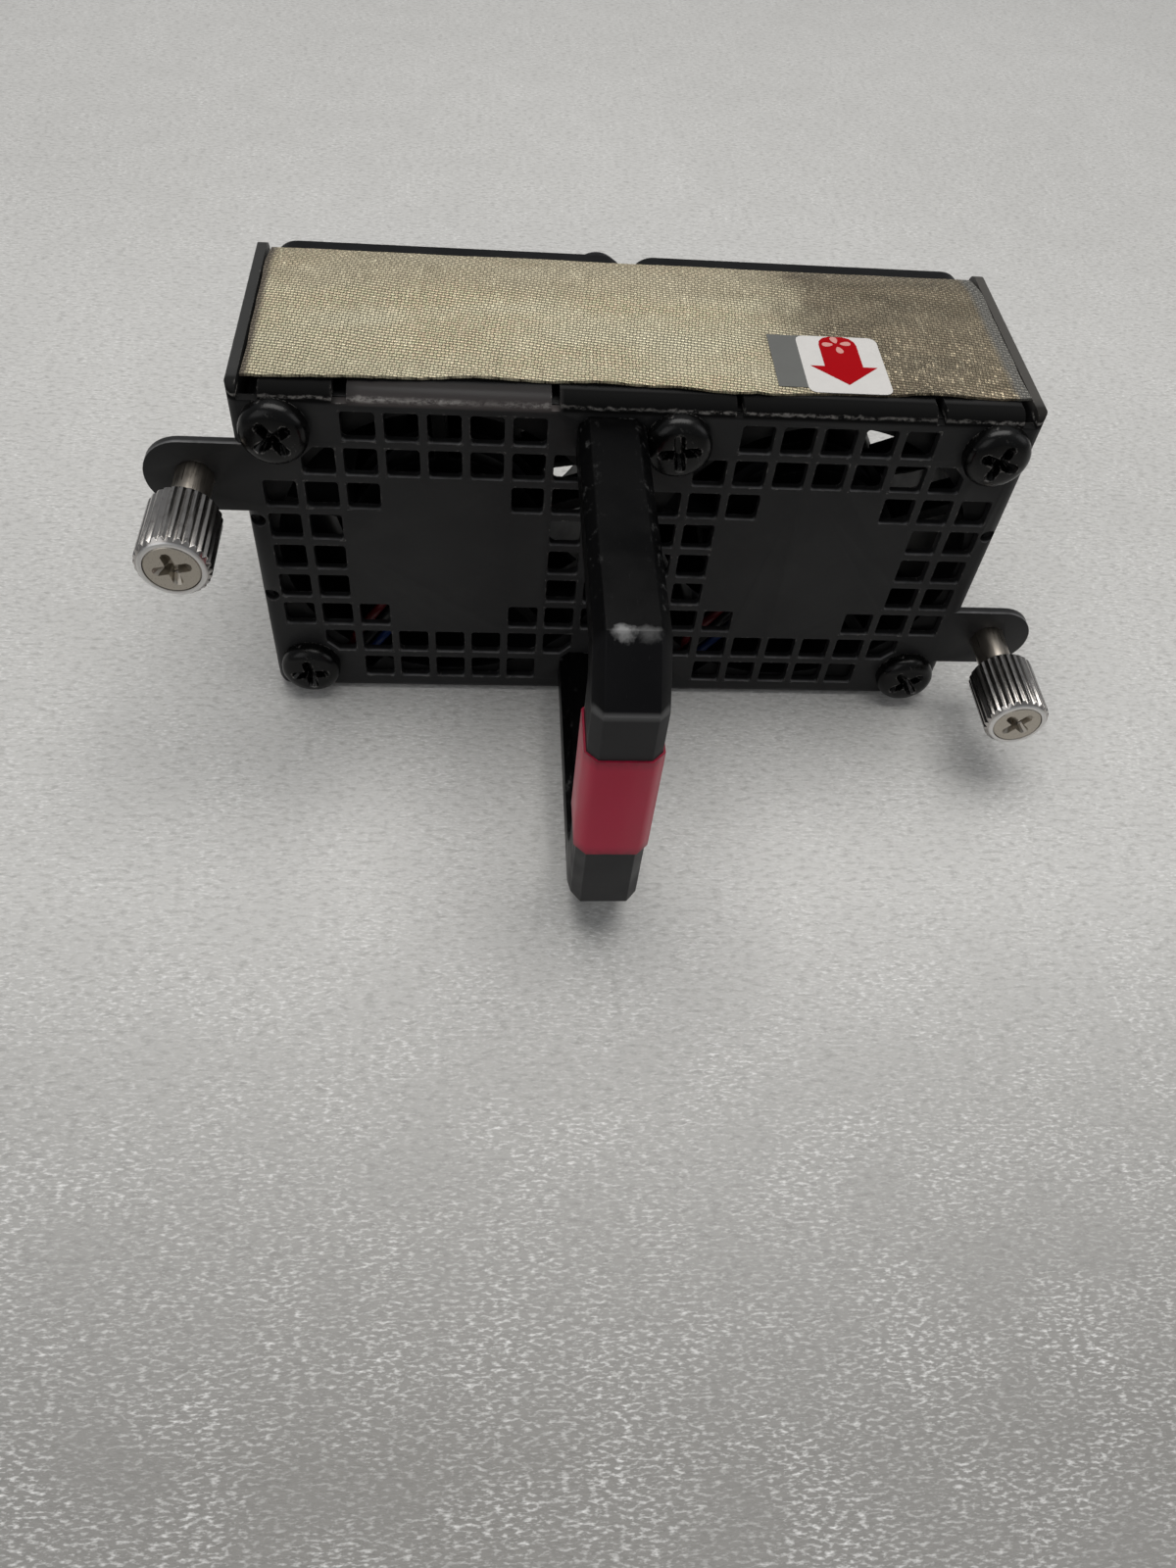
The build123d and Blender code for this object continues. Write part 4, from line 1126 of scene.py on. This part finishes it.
def make_camera():
    """The photograph's camera, as solved from the screws and the tray's corners."""
    data = bpy.data.cameras.new("camera")
    data.lens = CAMERA_LENS
    data.clip_start = 0.005
    camera = bpy.data.objects.new("camera", data)
    bpy.context.scene.collection.objects.link(camera)
    forward = Vector(CAMERA_FORWARD).normalized()
    right = Vector(CAMERA_RIGHT)
    right = (right - forward * right.dot(forward)).normalized()
    up = right.cross(forward)
    turn = Matrix((right, up, -forward)).transposed().to_4x4()
    camera.matrix_world = Matrix.Translation(Vector(CAMERA_PLACE) * MM) @ turn
    bpy.context.scene.camera = camera


def finish_nodes():
    """Materials and edge rounding of the CAD nodes that stay, and the grille's fillets."""
    coat = tray_material()
    finish_node("tray", coat, 0.13)
    make_hole_corners(coat)
    finish_node("handle", handle_material(), 0.5, 4, shading=SOFT)
    finish_node("handle_band", band_material(), 0.0, shading=SOFT)

    ground = metal_material("steel_ground", (0.6, 0.6, 0.6), 0.25)
    core = metal_material("steel_core", (0.3, 0.3, 0.31), 0.45, streaks=(0.2, 6, 0.2))
    sleeve_marks = (2.5, 0.12, 2.5)
    sleeve = metal_material("steel_sleeve", (0.42, 0.38, 0.33), 0.3, streaks=sleeve_marks, spots=0.35)
    parts = {
        # The fans' plastics are painted darker than plain black plastic, as shade inside the grille's
        # holes
        "fan_frame": (plastic_material("plastic_fan_shaded", (0.003, 0.003, 0.0032), 0.45), 0.2),
        "impeller": (plastic_material("plastic_impeller_shaded", (0.0025, 0.0025, 0.0028), 0.4), 0.15),
        "front_bearing": (ground, 0.1),
        "rear_bearing": (ground, 0.1),
        "shaft": (ground, 0.1),
        "stator_core": (core, 0.08),
        "coils": (winding_material(), 0.25, 3),
        "circuit_board": (board_material(), 0.06),
        "ring_magnet": (plastic_material("magnet_ferrite", (0.04, 0.04, 0.045), 0.6), 0.12),
        "retainer": (sleeve, 0.12),
        "knob": (knob_material(), 0.09),
        "connector": (plastic_material("plastic_cream", (0.55, 0.52, 0.44), 0.45), 0.15),
        "contacts": (metal_material("contact_gold", (0.8, 0.58, 0.22), 0.25), 0.08),
        # The leads' colours are painted darker, as shade where they lie inside the tray
        "red_lead": (wire_material("wire_red", (0.1, 0.003, 0.006)), 0.33, 3),
        "black_lead": (wire_material("wire_black", (0.012, 0.012, 0.012)), 0.33, 3),
        "blue_lead": (wire_material("wire_blue", (0.003, 0.02, 0.1)), 0.33, 3),
    }
    for side in SIDES:
        for part, finish in parts.items():
            finish_node(f"{side}_{part}", *finish)


finish_nodes()
plated = metal_material("steel_plated", (0.62, 0.6, 0.56), 0.28, spots=0.2)
disc_steel = metal_material("steel_disc", (0.5, 0.46, 0.4), 0.3, streaks=(4, 1, 0.4), spots=0.3)
make_fan_screws(screw_material())
make_connector_screws(plated)
for side_name in SIDES:
    make_captive_screw(side_name, disc_steel)
    make_spring(side_name, plated)
make_foam(foam_material())
make_fabric(fabric_material())
make_label(
    print_material("print_white", (0.64, 0.625, 0.605)),
    print_material("print_grey", (0.14, 0.142, 0.136), 0.4),
    print_material("print_red", (0.36, 0.0008, 0.004)),
    print_material("print_pink", (0.62, 0.3, 0.27)),
)
make_floor()
make_studio()
make_camera()
